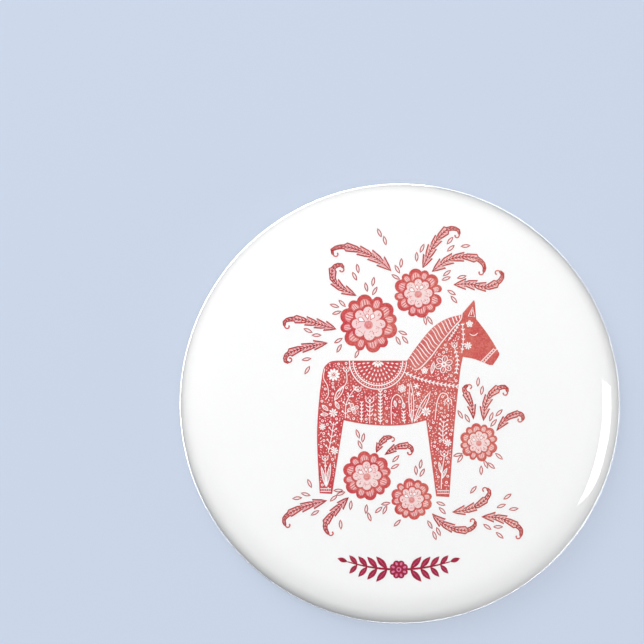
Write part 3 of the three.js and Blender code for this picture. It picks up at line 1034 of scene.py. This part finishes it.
def draw_fillers(drawing, outline, chance):
    """Small dots, dashes and rings wherever the motifs leave room."""
    saddle_gap = SADDLE_RADIUS + BARE_LINE + 0.12
    mane = mane_outline(-BARE_LINE / 2 - 0.15)
    placed = list(drawing.taken)
    for attempt in range(FILLER_TRIES):
        spot = (chance.uniform(-10.6, 7.7), chance.uniform(-11.0, 10.6))
        size = 0.17 if attempt < RING_TRIES else chance.choice((0.06, 0.07, 0.08, 0.1))
        if not is_inside(outline, spot) or gap_to(outline, spot) < size + 0.12:
            continue
        if is_inside(mane, spot) or math.dist(spot, SADDLE_CENTRE) < saddle_gap + size:
            continue
        if any(math.dist(spot, other) < reach + size + 0.1 for other, reach in placed):
            continue
        placed.append((spot, size))
        tone = chance.choice((BARE, BLUSH, PALE))
        if size > 0.12:
            drawing.stroke(round_outline(spot, 0.13, 10), FINE, BARE, 1, closed=True)
        elif size > 0.07:
            heading = chance.uniform(20, 160)
            drawing.stroke([polar(spot, heading, 0.13), polar(spot, heading + 180, 0.13)], STEM, tone, 1)
        else:
            drawing.dot(spot, size + 0.01, tone, 1, 6)


def draw_horse(drawing, chance):
    """The horse's body, less its mane and saddle, with all its bare flowers."""
    cutters = [horse_outline(), mane_outline(-BARE_LINE / 2), saddle_outline(SADDLE_RADIUS + BARE_LINE)]
    drawing.field(cutters, lambda held: held == {0}, RED)
    draw_head(drawing)
    draw_barrel(drawing)
    draw_legs(drawing)
    draw_fillers(drawing, horse_outline(), chance)


# ---- The garland ----


def garland_place(share):
    """A point of the garland's stem, from -1 at its left end to 1 at its right end."""
    x = GARLAND_CENTRE[0] + GARLAND_HALF_LENGTH * share
    return x, GARLAND_CENTRE[1] + GARLAND_RISE * share**2


def draw_garland(drawing):
    """A curved stem with pairs of veined leaves on each side of a round flower."""
    drawing.stroke([garland_place(-1 + i / 16) for i in range(33)], GARLAND_STEM, RED, 0, taper=0.4)
    for side in (-1, 1):
        for pair in range(GARLAND_PAIRS):
            foot = garland_place(side * (0.22 + 0.78 * pair / GARLAND_PAIRS))
            for lean in (-48, 48):
                heading = lean if side > 0 else 180 - lean
                tip = polar(foot, heading, 2.2 - 0.2 * pair)
                drawing.patch(lens_outline(foot, tip, 0.78 - 0.05 * pair, 8), RED, 1)
                vein = [place_on([foot, tip], share)[0] for share in (0.25, 0.78)]
                drawing.stroke(vein, VEIN, PEACH, 2)
        foot = garland_place(side)
        tip = (foot[0] + side * 1.3, foot[1] + 0.45)
        drawing.patch(lens_outline(foot, tip, 0.6, 8), RED, 1)
    lobes = [(360 * i / GARLAND_PETALS + 22, 0.8, 0.42) for i in range(GARLAND_PETALS)]
    drawing.patch(scalloped_outline(GARLAND_CENTRE, lobes, count=64), RED, 2)
    for degrees, distance, _ in lobes:
        spot = polar(GARLAND_CENTRE, degrees, distance)
        drawing.patch(oval_outline(spot, 0.23, 0.15, degrees, 8), PALE, 3)
    drawing.dot(GARLAND_CENTRE, 0.32, PALE, 3, 12)
    drawing.dot(GARLAND_CENTRE, 0.17, RED, 4, 10)


# ---- Materials ----


def new_material(name):
    """A node material, its tree and its principled shader."""
    material = bpy.data.materials.new(name)
    material.use_nodes = True
    return material, material.node_tree, material.node_tree.nodes["Principled BSDF"]


def feed(tree, socket, value):
    """Gives a socket its value: another socket, a number or the three numbers of a colour."""
    if isinstance(value, bpy.types.NodeSocket):
        tree.links.new(value, socket)
    elif isinstance(value, tuple):
        socket.default_value = (*value, 1.0)
    else:
        socket.default_value = value


def tinted(colour, share):
    """A colour made lighter or darker."""
    return tuple(share * value for value in colour)


def finish_surface(tree, shader, base, roughness, specular=0.5):
    """Sets a shader's colour, roughness and how strongly it reflects."""
    feed(tree, shader.inputs["Base Color"], base)
    feed(tree, shader.inputs["Roughness"], roughness)
    shader.inputs["Specular IOR Level"].default_value = specular


def add_place(tree):
    """The X, Y and Z of Object coordinates, in metres."""
    place = tree.nodes.new("ShaderNodeTexCoord")
    parts = tree.nodes.new("ShaderNodeSeparateXYZ")
    tree.links.new(place.outputs["Object"], parts.inputs[0])
    return parts.outputs


def add_noise(tree, scale, detail):
    """Noise on Object coordinates, with its scale in turns per metre."""
    place = tree.nodes.new("ShaderNodeTexCoord")
    noise = tree.nodes.new("ShaderNodeTexNoise")
    noise.inputs["Scale"].default_value = scale
    noise.inputs["Detail"].default_value = detail
    tree.links.new(place.outputs["Object"], noise.inputs["Vector"])
    return noise.outputs["Fac"]


def add_math(tree, operation, first, second=0.0):
    """A math node on two values, each a socket or a number."""
    node = tree.nodes.new("ShaderNodeMath")
    node.operation = operation
    feed(tree, node.inputs[0], first)
    feed(tree, node.inputs[1], second)
    return node.outputs[0]


def add_range(tree, value, low, high, to_low=0.0, to_high=1.0):
    """A value's range from low to high, made the range from to_low to to_high."""
    node = tree.nodes.new("ShaderNodeMapRange")
    node.inputs["From Min"].default_value = low
    node.inputs["From Max"].default_value = high
    node.inputs["To Min"].default_value = to_low
    node.inputs["To Max"].default_value = to_high
    tree.links.new(value, node.inputs["Value"])
    return node.outputs["Result"]


def add_mix(tree, share, first, second, blend="MIX"):
    """A mix of two colours; the share and each colour is a socket or plain numbers."""
    node = tree.nodes.new("ShaderNodeMix")
    node.data_type = "RGBA"
    node.blend_type = blend
    feed(tree, node.inputs["Factor"], share)
    feed(tree, node.inputs[6], first)
    feed(tree, node.inputs[7], second)
    return node.outputs[2]


def add_bump(tree, shader, height, distance):
    """Gives a shader fine relief, with its full height in metres."""
    bump = tree.nodes.new("ShaderNodeBump")
    bump.inputs["Distance"].default_value = distance
    tree.links.new(height, bump.inputs["Height"])
    tree.links.new(bump.outputs["Normal"], shader.inputs["Normal"])


def show_mix(tree, share, first, second):
    """Makes the surface a mix of two shaders."""
    mix = tree.nodes.new("ShaderNodeMixShader")
    tree.links.new(share, mix.inputs["Fac"])
    tree.links.new(first.outputs[0], mix.inputs[1])
    tree.links.new(second.outputs[0], mix.inputs[2])
    tree.links.new(mix.outputs[0], tree.nodes["Material Output"].inputs["Surface"])


def radius_from_axis(tree):
    """The distance from the magnet's axis, in metres."""
    place = add_place(tree)
    across = add_math(tree, "MULTIPLY", place["X"], place["X"])
    up = add_math(tree, "MULTIPLY", place["Z"], place["Z"])
    return add_math(tree, "SQRT", add_math(tree, "ADD", across, up))


def ink_material(name, deep, coral):
    """Ink that is brushed on unevenly: denser in places, and warmer towards the print's right."""
    material, tree, shader = new_material(name)
    across = add_range(tree, add_place(tree)["X"], RUMP_X * MM, HEAD_X * MM, 0.0, 0.8)
    wash = add_range(tree, add_noise(tree, 420.0, 4.0), 0.35, 0.65, -0.3, 0.35)
    ink = add_mix(tree, add_math(tree, "ADD", across, wash), deep, coral)
    cover = tree.nodes.new("ShaderNodeAttribute")
    cover.attribute_name = "ink_cover"
    grain = add_range(tree, add_noise(tree, 5200.0, 2.0), 0.3, 0.7, 0.78, 1.2)
    stain = tree.nodes.new("ShaderNodeGamma")
    tree.links.new(ink, stain.inputs["Color"])
    tree.links.new(add_math(tree, "MULTIPLY", cover.outputs["Fac"], grain), stain.inputs["Gamma"])
    paper = tuple(bpy.context.scene.magnet_colours.paper)
    stained = add_mix(tree, 1.0, paper, stain.outputs[0], "MULTIPLY")
    finish_surface(tree, shader, stained, 0.6, 0.2)
    add_bump(tree, shader, add_noise(tree, 9000.0, 2.0), 0.004 * MM)
    return material


def paper_material():
    """Smooth coated paper with fine fibre."""
    material, tree, shader = new_material("coated_paper")
    paper = tuple(bpy.context.scene.magnet_colours.paper)
    fibre = add_range(tree, add_noise(tree, 3800.0, 5.0), 0.35, 0.65)
    finish_surface(tree, shader, add_mix(tree, fibre, paper, tinted(paper, 0.975)), 0.75, 0.2)
    add_bump(tree, shader, add_noise(tree, 2600.0, 4.0), 0.005 * MM)
    return material


def film_material():
    """Clear glossy film: its outer side reflects, and the rest lets the print show."""
    material, tree, shader = new_material("glossy_film")
    tree.nodes.remove(shader)
    clear = tree.nodes.new("ShaderNodeBsdfTransparent")
    gloss = tree.nodes.new("ShaderNodeBsdfGlossy")
    gloss.inputs["Roughness"].default_value = 0.045
    add_bump(tree, gloss, add_noise(tree, 420.0, 2.0), 0.006 * MM)
    fresnel = tree.nodes.new("ShaderNodeFresnel")
    fresnel.inputs["IOR"].default_value = 1.5
    side = tree.nodes.new("ShaderNodeNewGeometry")
    front = add_math(tree, "SUBTRACT", 1.0, side.outputs["Backfacing"])
    show_mix(tree, add_math(tree, "MULTIPLY", fresnel.outputs["Fac"], front), clear, gloss)
    return material


def tinplate_material():
    """Bright tinplate with fine lines left by the press and a little cloudiness."""
    material, tree, shader = new_material("bright_tinplate")
    tin = tuple(bpy.context.scene.magnet_colours.tin)
    cloud = add_range(tree, add_noise(tree, 900.0, 4.0), 0.35, 0.65)
    roughness = add_range(tree, cloud, 0.0, 1.0, 0.1, 0.2)
    finish_surface(tree, shader, add_mix(tree, cloud, tin, tinted(tin, 0.86)), roughness)
    shader.inputs["Metallic"].default_value = 1.0
    rings = add_math(tree, "MULTIPLY", radius_from_axis(tree), 2 * math.pi / (PRESS_LINE * MM))
    add_bump(tree, shader, add_math(tree, "SINE", rings), 0.0012 * MM)
    return material


def adhesive_material():
    """Cloudy glue film."""
    material, tree, shader = new_material("cloudy_glue")
    glue = add_mix(tree, add_noise(tree, 700.0, 4.0), (0.62, 0.58, 0.47), (0.74, 0.71, 0.62))
    finish_surface(tree, shader, glue, 0.45)
    add_bump(tree, shader, add_noise(tree, 1500.0, 3.0), 0.01 * MM)
    return material


def magnet_material():
    """Matte ferrite rubber with faint speckle; its cut bevel is lighter than its face."""
    material, tree, shader = new_material("ferrite_rubber")
    rubber = tuple(bpy.context.scene.magnet_colours.magnet)
    speckle = add_range(tree, add_noise(tree, 2600.0, 6.0), 0.52, 0.7)
    face = add_mix(tree, speckle, rubber, tinted(rubber, 1.35))
    cut = MAGNET_RADIUS - MAGNET_CHAMFER[0]
    bevel = add_range(tree, radius_from_axis(tree), (cut - 0.03) * MM, (cut + 0.07) * MM, 0.0, 0.85)
    finish_surface(tree, shader, add_mix(tree, bevel, face, tinted(rubber, 3.3)), 0.72, 0.35)
    add_bump(tree, shader, add_noise(tree, 5200.0, 4.0), 0.02 * MM)
    return material


def backdrop_material(name, paint, glow, one_sided):
    """Plain pale backdrop; a one-sided backdrop can't be seen from behind."""
    material, tree, shader = new_material(name)
    colour = tuple(bpy.context.scene.magnet_stage.backdrop)
    light = tinted(colour, paint)
    shade = add_mix(tree, add_noise(tree, 12.0, 1.0), light, tinted(light, 0.985))
    finish_surface(tree, shader, shade, 1.0, 0.0)
    shader.inputs["Emission Color"].default_value = (*colour, 1.0)
    shader.inputs["Emission Strength"].default_value = glow
    if one_sided:
        clear = tree.nodes.new("ShaderNodeBsdfTransparent")
        side = tree.nodes.new("ShaderNodeNewGeometry")
        show_mix(tree, side.outputs["Backfacing"], shader, clear)
    return material


# ---- Turned pieces ----


def pleat_pattern(count, seed):
    """A function of the angle: how far the fold stands out, in narrow pleats over slow waves."""
    chance = random.Random(seed)
    pleats = []
    for i in range(count):
        place = 2 * math.pi * (i + chance.uniform(-0.3, 0.3)) / count
        pleats.append((place, chance.uniform(0.0, 1.0) ** 2, chance.uniform(0.006, 0.011)))
    waves = [(chance.randint(3, 11), chance.uniform(0, 2 * math.pi)) for _ in range(4)]

    def height(angle):
        total = 0.12 + 0.05 * sum(math.sin(turns * angle + phase) for turns, phase in waves)
        for place, size, width in pleats:
            gap = abs((angle - place + math.pi) % (2 * math.pi) - math.pi)
            if gap < 3 * width:
                total += size * math.exp(-((gap / width) ** 2))
        return min(max(total, 0.0), 1.0)

    return height


def pleat_fold(piece):
    """Gathers the folded edge of a layer into pleats, growing from its widest place to its end."""
    sizes = bpy.context.scene.magnet_sizes
    height = pleat_pattern(sizes.pleats, PLEAT_SEED)
    curl_x, curl_y = front_arcs()[4][0]
    known = {}
    for vertex in piece.data.vertices:
        x, y, z = vertex.co / MM
        across = math.hypot(x, z) - curl_x
        if y < EDGE_Y + 0.05 or across < -1.0:
            continue
        turned_by = math.degrees(math.atan2(across, curl_y - y))
        grown = (turned_by - PLEAT_START) / (PLEAT_FULL - PLEAT_START)
        share = min(max(grown, 0.0), 1.0) if turned_by > 0 else 1.0
        angle = round(math.atan2(z, x), 5)
        if angle not in known:
            known[angle] = height(angle)
        away = Vector((x, 0, z)).normalized() * across + Vector((0, y - curl_y, 0))
        vertex.co += away.normalized() * known[angle] * share * sizes.pleat_depth


def pan_section():
    """The pan's closed section: its bright side with the rim's fine ridges, then its hidden side."""
    thin = TINPLATE / 2
    wall = PAN_WALL_RADIUS
    fillet = (wall - PAN_FILLET, PAN_FLOOR_Y + PAN_FILLET)
    rim = (wall + PAN_RIM_RADIUS, PAN_RIM_Y)
    bead = (wall + 0.56, PAN_RIM_Y + 0.1)
    skirt = math.atan2(SKIRT_END[0] - SKIRT_BEND[0], SKIRT_BEND[1] - SKIRT_END[1])
    bend = (thin, thin * math.tan(skirt / 2))
    end = (thin * math.cos(skirt), thin * math.sin(skirt))

    def skirt_side(sign):
        return [
            (SKIRT_BEND[0] + sign * bend[0], SKIRT_BEND[1] + sign * bend[1]),
            (SKIRT_END[0] + sign * end[0], SKIRT_END[1] + sign * end[1]),
        ]

    bright = joined(
        [(0.0, PAN_FLOOR_Y + thin)],
        section_arc(fillet, PAN_FILLET - thin, 0, 90, 5),
        section_arc(bead, PAN_BEAD_RADIUS, 270, 142, 14),
        section_arc((bead[0] + 0.6, bead[1] + 0.41), PAN_RIDGE_RADIUS, 250, 110, 5),
        section_arc((bead[0] + 0.79, bead[1] + 0.33), PAN_RIDGE_RADIUS, 250, 100, 5),
        [(rim[0] + PAN_RIM_RADIUS + thin, PAN_RIM_Y)],
        skirt_side(1),
    )
    hidden = joined(
        [(0.0, PAN_FLOOR_Y - thin)],
        section_arc(fillet, PAN_FILLET + thin, 0, 90, 5),
        section_arc(rim, PAN_RIM_RADIUS - thin, 270, 90, 12),
        skirt_side(-1),
    )
    return [*bright, *reversed(hidden)]


def apply_place(piece):
    """Moves a piece's place into its mesh."""
    work_on(piece)
    bpy.ops.object.transform_apply(location=True, rotation=True, scale=True)


def disc_piece(name, radius, front_y_mm, back_y_mm, steps):
    """A flat disc on the magnet's axis."""
    piece = start_primitive(
        bpy.ops.mesh.primitive_cylinder_add,
        name,
        vertices=steps,
        radius=radius * MM,
        depth=(back_y_mm - front_y_mm) * MM,
        location=(0, (front_y_mm + back_y_mm) / 2 * MM, 0),
        rotation=(math.pi / 2, 0, 0),
    )
    apply_place(piece)
    return piece


def select_where(piece, test):
    """In edit mode, selects the vertices that pass a test on their place."""
    bpy.ops.object.mode_set(mode="EDIT")
    bpy.ops.mesh.select_mode(type="VERT")
    bpy.ops.mesh.select_all(action="DESELECT")
    bpy.ops.object.mode_set(mode="OBJECT")
    for vertex in piece.data.vertices:
        vertex.select = test(vertex.co)
    bpy.ops.object.mode_set(mode="EDIT")


# ---- Operators ----


def wrapped_sheet(name, layer):
    """A sheet over the front, folded round the edge and gathered there into pleats."""
    steps = bpy.context.scene.magnet_sizes.turn_steps
    piece = turn(name, [*front_line(layer[1]), *reversed(front_line(layer[0]))], steps)
    pleat_fold(piece)
    return piece


class MAGNET_OT_film(bpy.types.Operator):
    """Build the clear film over the front, folded round the edge"""

    bl_idname = "magnet.film"
    bl_label = "Clear film"

    def execute(self, context):
        piece = wrapped_sheet("film", FILM_LAYER)
        finish_piece(piece, film_material(), "clear_film", "clear_film")
        return {"FINISHED"}


class MAGNET_OT_paper(bpy.types.Operator):
    """Build the paper disc under the film"""

    bl_idname = "magnet.paper"
    bl_label = "Paper disc"

    def execute(self, context):
        piece = wrapped_sheet("paper", PAPER_LAYER)
        finish_piece(piece, paper_material(), "white_paper", "paper_disc")
        return {"FINISHED"}


class MAGNET_OT_tinplate(bpy.types.Operator):
    """Build the stamped tinplate front and the tinplate back pan"""

    bl_idname = "magnet.tinplate"
    bl_label = "Tinplate front and back pan"

    def execute(self, context):
        steps = context.scene.magnet_sizes.turn_steps // 2
        material = tinplate_material()
        line = [*front_line(0.0, False), *reversed(front_line(-TINPLATE, False))]
        front = turn("front_plate", line, steps)
        finish_piece(front, material, "tinplate", "tinplate_front")
        pan = turn("back_pan", pan_section(), steps, 50)
        finish_piece(pan, material, "tinplate", "tinplate_back_pan")
        return {"FINISHED"}


class MAGNET_OT_adhesive(bpy.types.Operator):
    """Build the glue film between the pan and the magnet"""

    bl_idname = "magnet.adhesive"
    bl_label = "Adhesive disc"

    def execute(self, context):
        piece = disc_piece("glue_film", ADHESIVE_RADIUS, *ADHESIVE_Y, 192)
        bpy.ops.object.mode_set(mode="EDIT")
        bpy.ops.mesh.select_all(action="SELECT")
        bpy.ops.mesh.bevel(offset=0.03 * MM, segments=2, affect="EDGES")
        bpy.ops.object.mode_set(mode="OBJECT")
        smooth(piece, 50)
        finish_piece(piece, adhesive_material(), "adhesive", "adhesive_disc")
        return {"FINISHED"}


class MAGNET_OT_magnet(bpy.types.Operator):
    """Build the magnet disc with its cut bevel"""

    bl_idname = "magnet.magnet"
    bl_label = "Magnet disc"

    def execute(self, context):
        piece = disc_piece("magnet", MAGNET_RADIUS, MAGNET_FRONT_Y, 0.0, 256)
        width, depth = MAGNET_CHAMFER
        bpy.ops.object.mode_set(mode="EDIT")
        bpy.ops.mesh.select_all(action="SELECT")
        bpy.ops.mesh.bisect(plane_co=(0, -depth * MM, 0), plane_no=(0, 1, 0))
        select_where(piece, lambda place: place.y > -0.01 * MM)
        share = (MAGNET_RADIUS - width) / MAGNET_RADIUS
        bpy.ops.transform.resize(value=(share, 1, share), center_override=(0, 0, 0))
        select_where(piece, lambda place: place.y > -1.01 * depth * MM)
        bpy.ops.mesh.select_mode(type="EDGE")
        bpy.ops.mesh.select_all(action="DESELECT")
        bpy.ops.mesh.edges_select_sharp(sharpness=math.radians(12))
        bpy.ops.mesh.bevel(offset=0.05 * MM, segments=3, affect="EDGES")
        bpy.ops.object.mode_set(mode="OBJECT")
        smooth(piece, 12)
        finish_piece(piece, magnet_material(), "magnet_rubber", "magnet_disc")
        return {"FINISHED"}


def print_ink(name, ink, slot, nodes, draw, *details):
    """Draws one part of the print and makes it a piece."""
    drawing = Drawing()
    draw(drawing, *details)
    finish_piece(drawing.build(name), ink, slot, *nodes)


class MAGNET_OT_horse(bpy.types.Operator):
    """Print the horse, its mane and its saddle"""

    bl_idname = "magnet.horse"
    bl_label = "Horse print"

    def execute(self, context):
        colours = context.scene.magnet_colours
        ink = ink_material("brushed_red", tuple(colours.deep_ink), tuple(colours.coral_ink))
        chance = random.Random(PRINT_SEED)
        print_ink("ink_horse", ink, "red_ink", ["print_horse"], draw_horse, chance)
        print_ink("ink_mane", ink, "red_ink", ["print_mane"], draw_mane, chance)
        print_ink("ink_saddle", ink, "red_ink", ["print_saddle"], draw_saddle)
        return {"FINISHED"}


class MAGNET_OT_flowers(bpy.types.Operator):
    """Print the flowers, the leaves and the seeds around the horse"""

    bl_idname = "magnet.flowers"
    bl_label = "Flower, leaf and seed prints"

    def execute(self, context):
        ink = bpy.data.materials["brushed_red"]
        chance = random.Random(FLOWER_SEED)
        for i, (centre, radius) in enumerate(FLOWERS, 1):
            nodes = [f"print_flower_{i}"]
            print_ink(f"ink_flower_{i}", ink, "red_ink", nodes, draw_flower, centre, radius, chance)
        for i, midrib in enumerate(LEAVES, 1):
            nodes = [f"print_leaf_{i}"]
            print_ink(f"ink_leaf_{i}", ink, "red_ink", nodes, draw_leaf, midrib, chance)
        print_ink("ink_seeds", ink, "red_ink", [], draw_seeds)
        return {"FINISHED"}


class MAGNET_OT_garland(bpy.types.Operator):
    """Print the crimson garland under the horse"""

    bl_idname = "magnet.garland"
    bl_label = "Garland print"

    def execute(self, context):
        crimson = tuple(context.scene.magnet_colours.crimson_ink)
        ink = ink_material("brushed_crimson", crimson, tinted(crimson, 1.12))
        print_ink("ink_garland", ink, "crimson_ink", ["print_garland"], draw_garland)
        return {"FINISHED"}


# ---- The stage ----


def hide_from_light(obj):
    """Leaves an object to the camera only, so that it casts no light and no shadow."""
    obj.visible_diffuse = False
    obj.visible_glossy = False
    obj.visible_transmission = False
    obj.visible_shadow = False


def add_softbox(name, place, size, power, diffuse=True, glossy=True):
    """A soft light that faces the magnet; it can light surfaces, show in reflections or both."""
    lamp = bpy.data.lights.new(name, "AREA")
    lamp.shape = "RECTANGLE"
    lamp.size = size[0]
    lamp.size_y = size[1]
    lamp.energy = power
    obj = bpy.data.objects.new(name, lamp)
    bpy.context.scene.collection.objects.link(obj)
    obj.location = place
    obj.rotation_euler = (-Vector(place)).to_track_quat("-Z", "Y").to_euler()
    obj.visible_camera = False
    obj.visible_diffuse = diffuse
    obj.visible_glossy = glossy


def add_door():
    """The pale sheet right behind the magnet."""
    upright = (math.pi / 2, 0, 0)
    door = start_primitive(bpy.ops.mesh.primitive_plane_add, "door", size=1.0, rotation=upright)
    apply_place(door)
    bpy.ops.object.mode_set(mode="EDIT")
    bpy.ops.mesh.select_all(action="SELECT")
    bpy.ops.mesh.subdivide(number_cuts=3)
    bpy.ops.transform.resize(value=(DOOR_SIZE[0], 1, DOOR_SIZE[1]), center_override=(0, 0, 0))
    bpy.ops.transform.translate(value=(0, DOOR_GAP * MM, DOOR_Z))
    bpy.ops.object.mode_set(mode="OBJECT")
    door.data.materials.append(backdrop_material("door_paint", 0.28, 0.685, True))
    hide_from_light(door)


def add_studio():
    """A round pale studio with a flat floor."""
    ball = bpy.ops.mesh.primitive_uv_sphere_add
    studio = start_primitive(ball, "studio", segments=64, ring_count=32, radius=STUDIO_RADIUS)
    bpy.ops.object.mode_set(mode="EDIT")
    bpy.ops.mesh.select_all(action="SELECT")
    floor = (0, 0, FLOOR_Z)
    bpy.ops.mesh.bisect(plane_co=floor, plane_no=(0, 0, 1), use_fill=True, clear_inner=True)
    bpy.ops.mesh.select_all(action="SELECT")
    bpy.ops.mesh.normals_make_consistent(inside=True)
    bpy.ops.object.mode_set(mode="OBJECT")
    smooth(studio, 40)
    studio.data.materials.append(backdrop_material("studio_paint", 0.15, 0.88, False))
    hide_from_light(studio)


def add_camera():
    """The camera, a little to the left of the magnet's axis and above it."""
    stage = bpy.context.scene.magnet_stage
    lens = bpy.data.cameras.new("camera")
    lens.lens = stage.lens
    lens.clip_start = 0.01
    lens.clip_end = 10.0
    camera = bpy.data.objects.new("camera", lens)
    bpy.context.scene.collection.objects.link(camera)
    camera.location = (CAMERA_X * MM, EDGE_Y * MM - stage.distance, CAMERA_Z * MM)
    camera.rotation_euler = (math.pi / 2, 0, 0)
    bpy.context.scene.camera = camera


def add_lights():
    """The soft lights: three that light surfaces from in front, three for reflections, one behind."""
    stage = bpy.context.scene.magnet_stage
    add_softbox("key", (-0.26, -0.42, 0.36), (0.45, 0.45), stage.key_power, glossy=False)
    add_softbox("fill", (0.02, -0.8, 0.03), (0.7, 0.7), stage.fill_power, glossy=False)
    add_softbox("side_box", (0.398, -0.283, -0.078), (0.21, 0.22), stage.side_power, diffuse=False)
    add_softbox("side_fill", (0.6, -0.08, -0.2), (0.3, 0.3), 0.5 * stage.side_power, glossy=False)
    add_softbox("top_box", (-0.2, -0.3, 0.55), (0.4, 0.2), stage.top_power, diffuse=False)
    add_softbox("back", (-0.14, 0.62, 0.3), (0.4, 0.4), stage.back_power)
    add_softbox("back_strip", (-0.1, 0.62, 0.05), (0.5, 0.3), 1.5 * stage.back_power, diffuse=False)


class MAGNET_OT_stage(bpy.types.Operator):
    """Set up the camera, the lights, the door and the studio"""

    bl_idname = "magnet.stage"
    bl_label = "Stage"

    def execute(self, context):
        scene = context.scene
        scene.view_settings.view_transform = "Standard"
        world = bpy.data.worlds.new("studio_air")
        world.use_nodes = True
        air = world.node_tree.nodes["Background"]
        air.inputs["Color"].default_value = (*AIR_COLOUR, 1.0)
        air.inputs["Strength"].default_value = AIR_STRENGTH
        scene.world = world
        add_camera()
        add_lights()
        add_door()
        add_studio()
        return {"FINISHED"}


class MAGNET_PT_panel(bpy.types.Panel):
    """Lists the magnet's steps and settings"""

    bl_idname = "MAGNET_PT_panel"
    bl_label = "Button magnet"
    bl_space_type = "VIEW_3D"
    bl_region_type = "UI"
    bl_category = "Magnet"

    def draw(self, context):
        for group in (context.scene.magnet_sizes, context.scene.magnet_colours, context.scene.magnet_stage):
            box = self.layout.box()
            for name in group.bl_rna.properties.keys():
                if name not in ("rna_type", "name"):
                    box.prop(group, name)
        for operator in OPERATORS:
            self.layout.operator(operator.bl_idname)


GROUPS = (
    ("magnet_sizes", MagnetSizes),
    ("magnet_colours", MagnetColours),
    ("magnet_stage", MagnetStage),
)
OPERATORS = (
    MAGNET_OT_stage,
    MAGNET_OT_film,
    MAGNET_OT_paper,
    MAGNET_OT_tinplate,
    MAGNET_OT_adhesive,
    MAGNET_OT_magnet,
    MAGNET_OT_horse,
    MAGNET_OT_flowers,
    MAGNET_OT_garland,
)


def register():
    for name, group in GROUPS:
        bpy.utils.register_class(group)
        setattr(bpy.types.Scene, name, bpy.props.PointerProperty(type=group))
    for operator in OPERATORS:
        bpy.utils.register_class(operator)
    bpy.utils.register_class(MAGNET_PT_panel)


def unregister():
    bpy.utils.unregister_class(MAGNET_PT_panel)
    for operator in reversed(OPERATORS):
        bpy.utils.unregister_class(operator)
    for name, group in reversed(GROUPS):
        delattr(bpy.types.Scene, name)
        bpy.utils.unregister_class(group)


def main():
    register()
    bpy.ops.magnet.stage()
    bpy.ops.magnet.film()
    bpy.ops.magnet.paper()
    bpy.ops.magnet.tinplate()
    bpy.ops.magnet.adhesive()
    bpy.ops.magnet.magnet()
    bpy.ops.magnet.horse()
    bpy.ops.magnet.flowers()
    bpy.ops.magnet.garland()


if __name__ == "__main__":
    main()
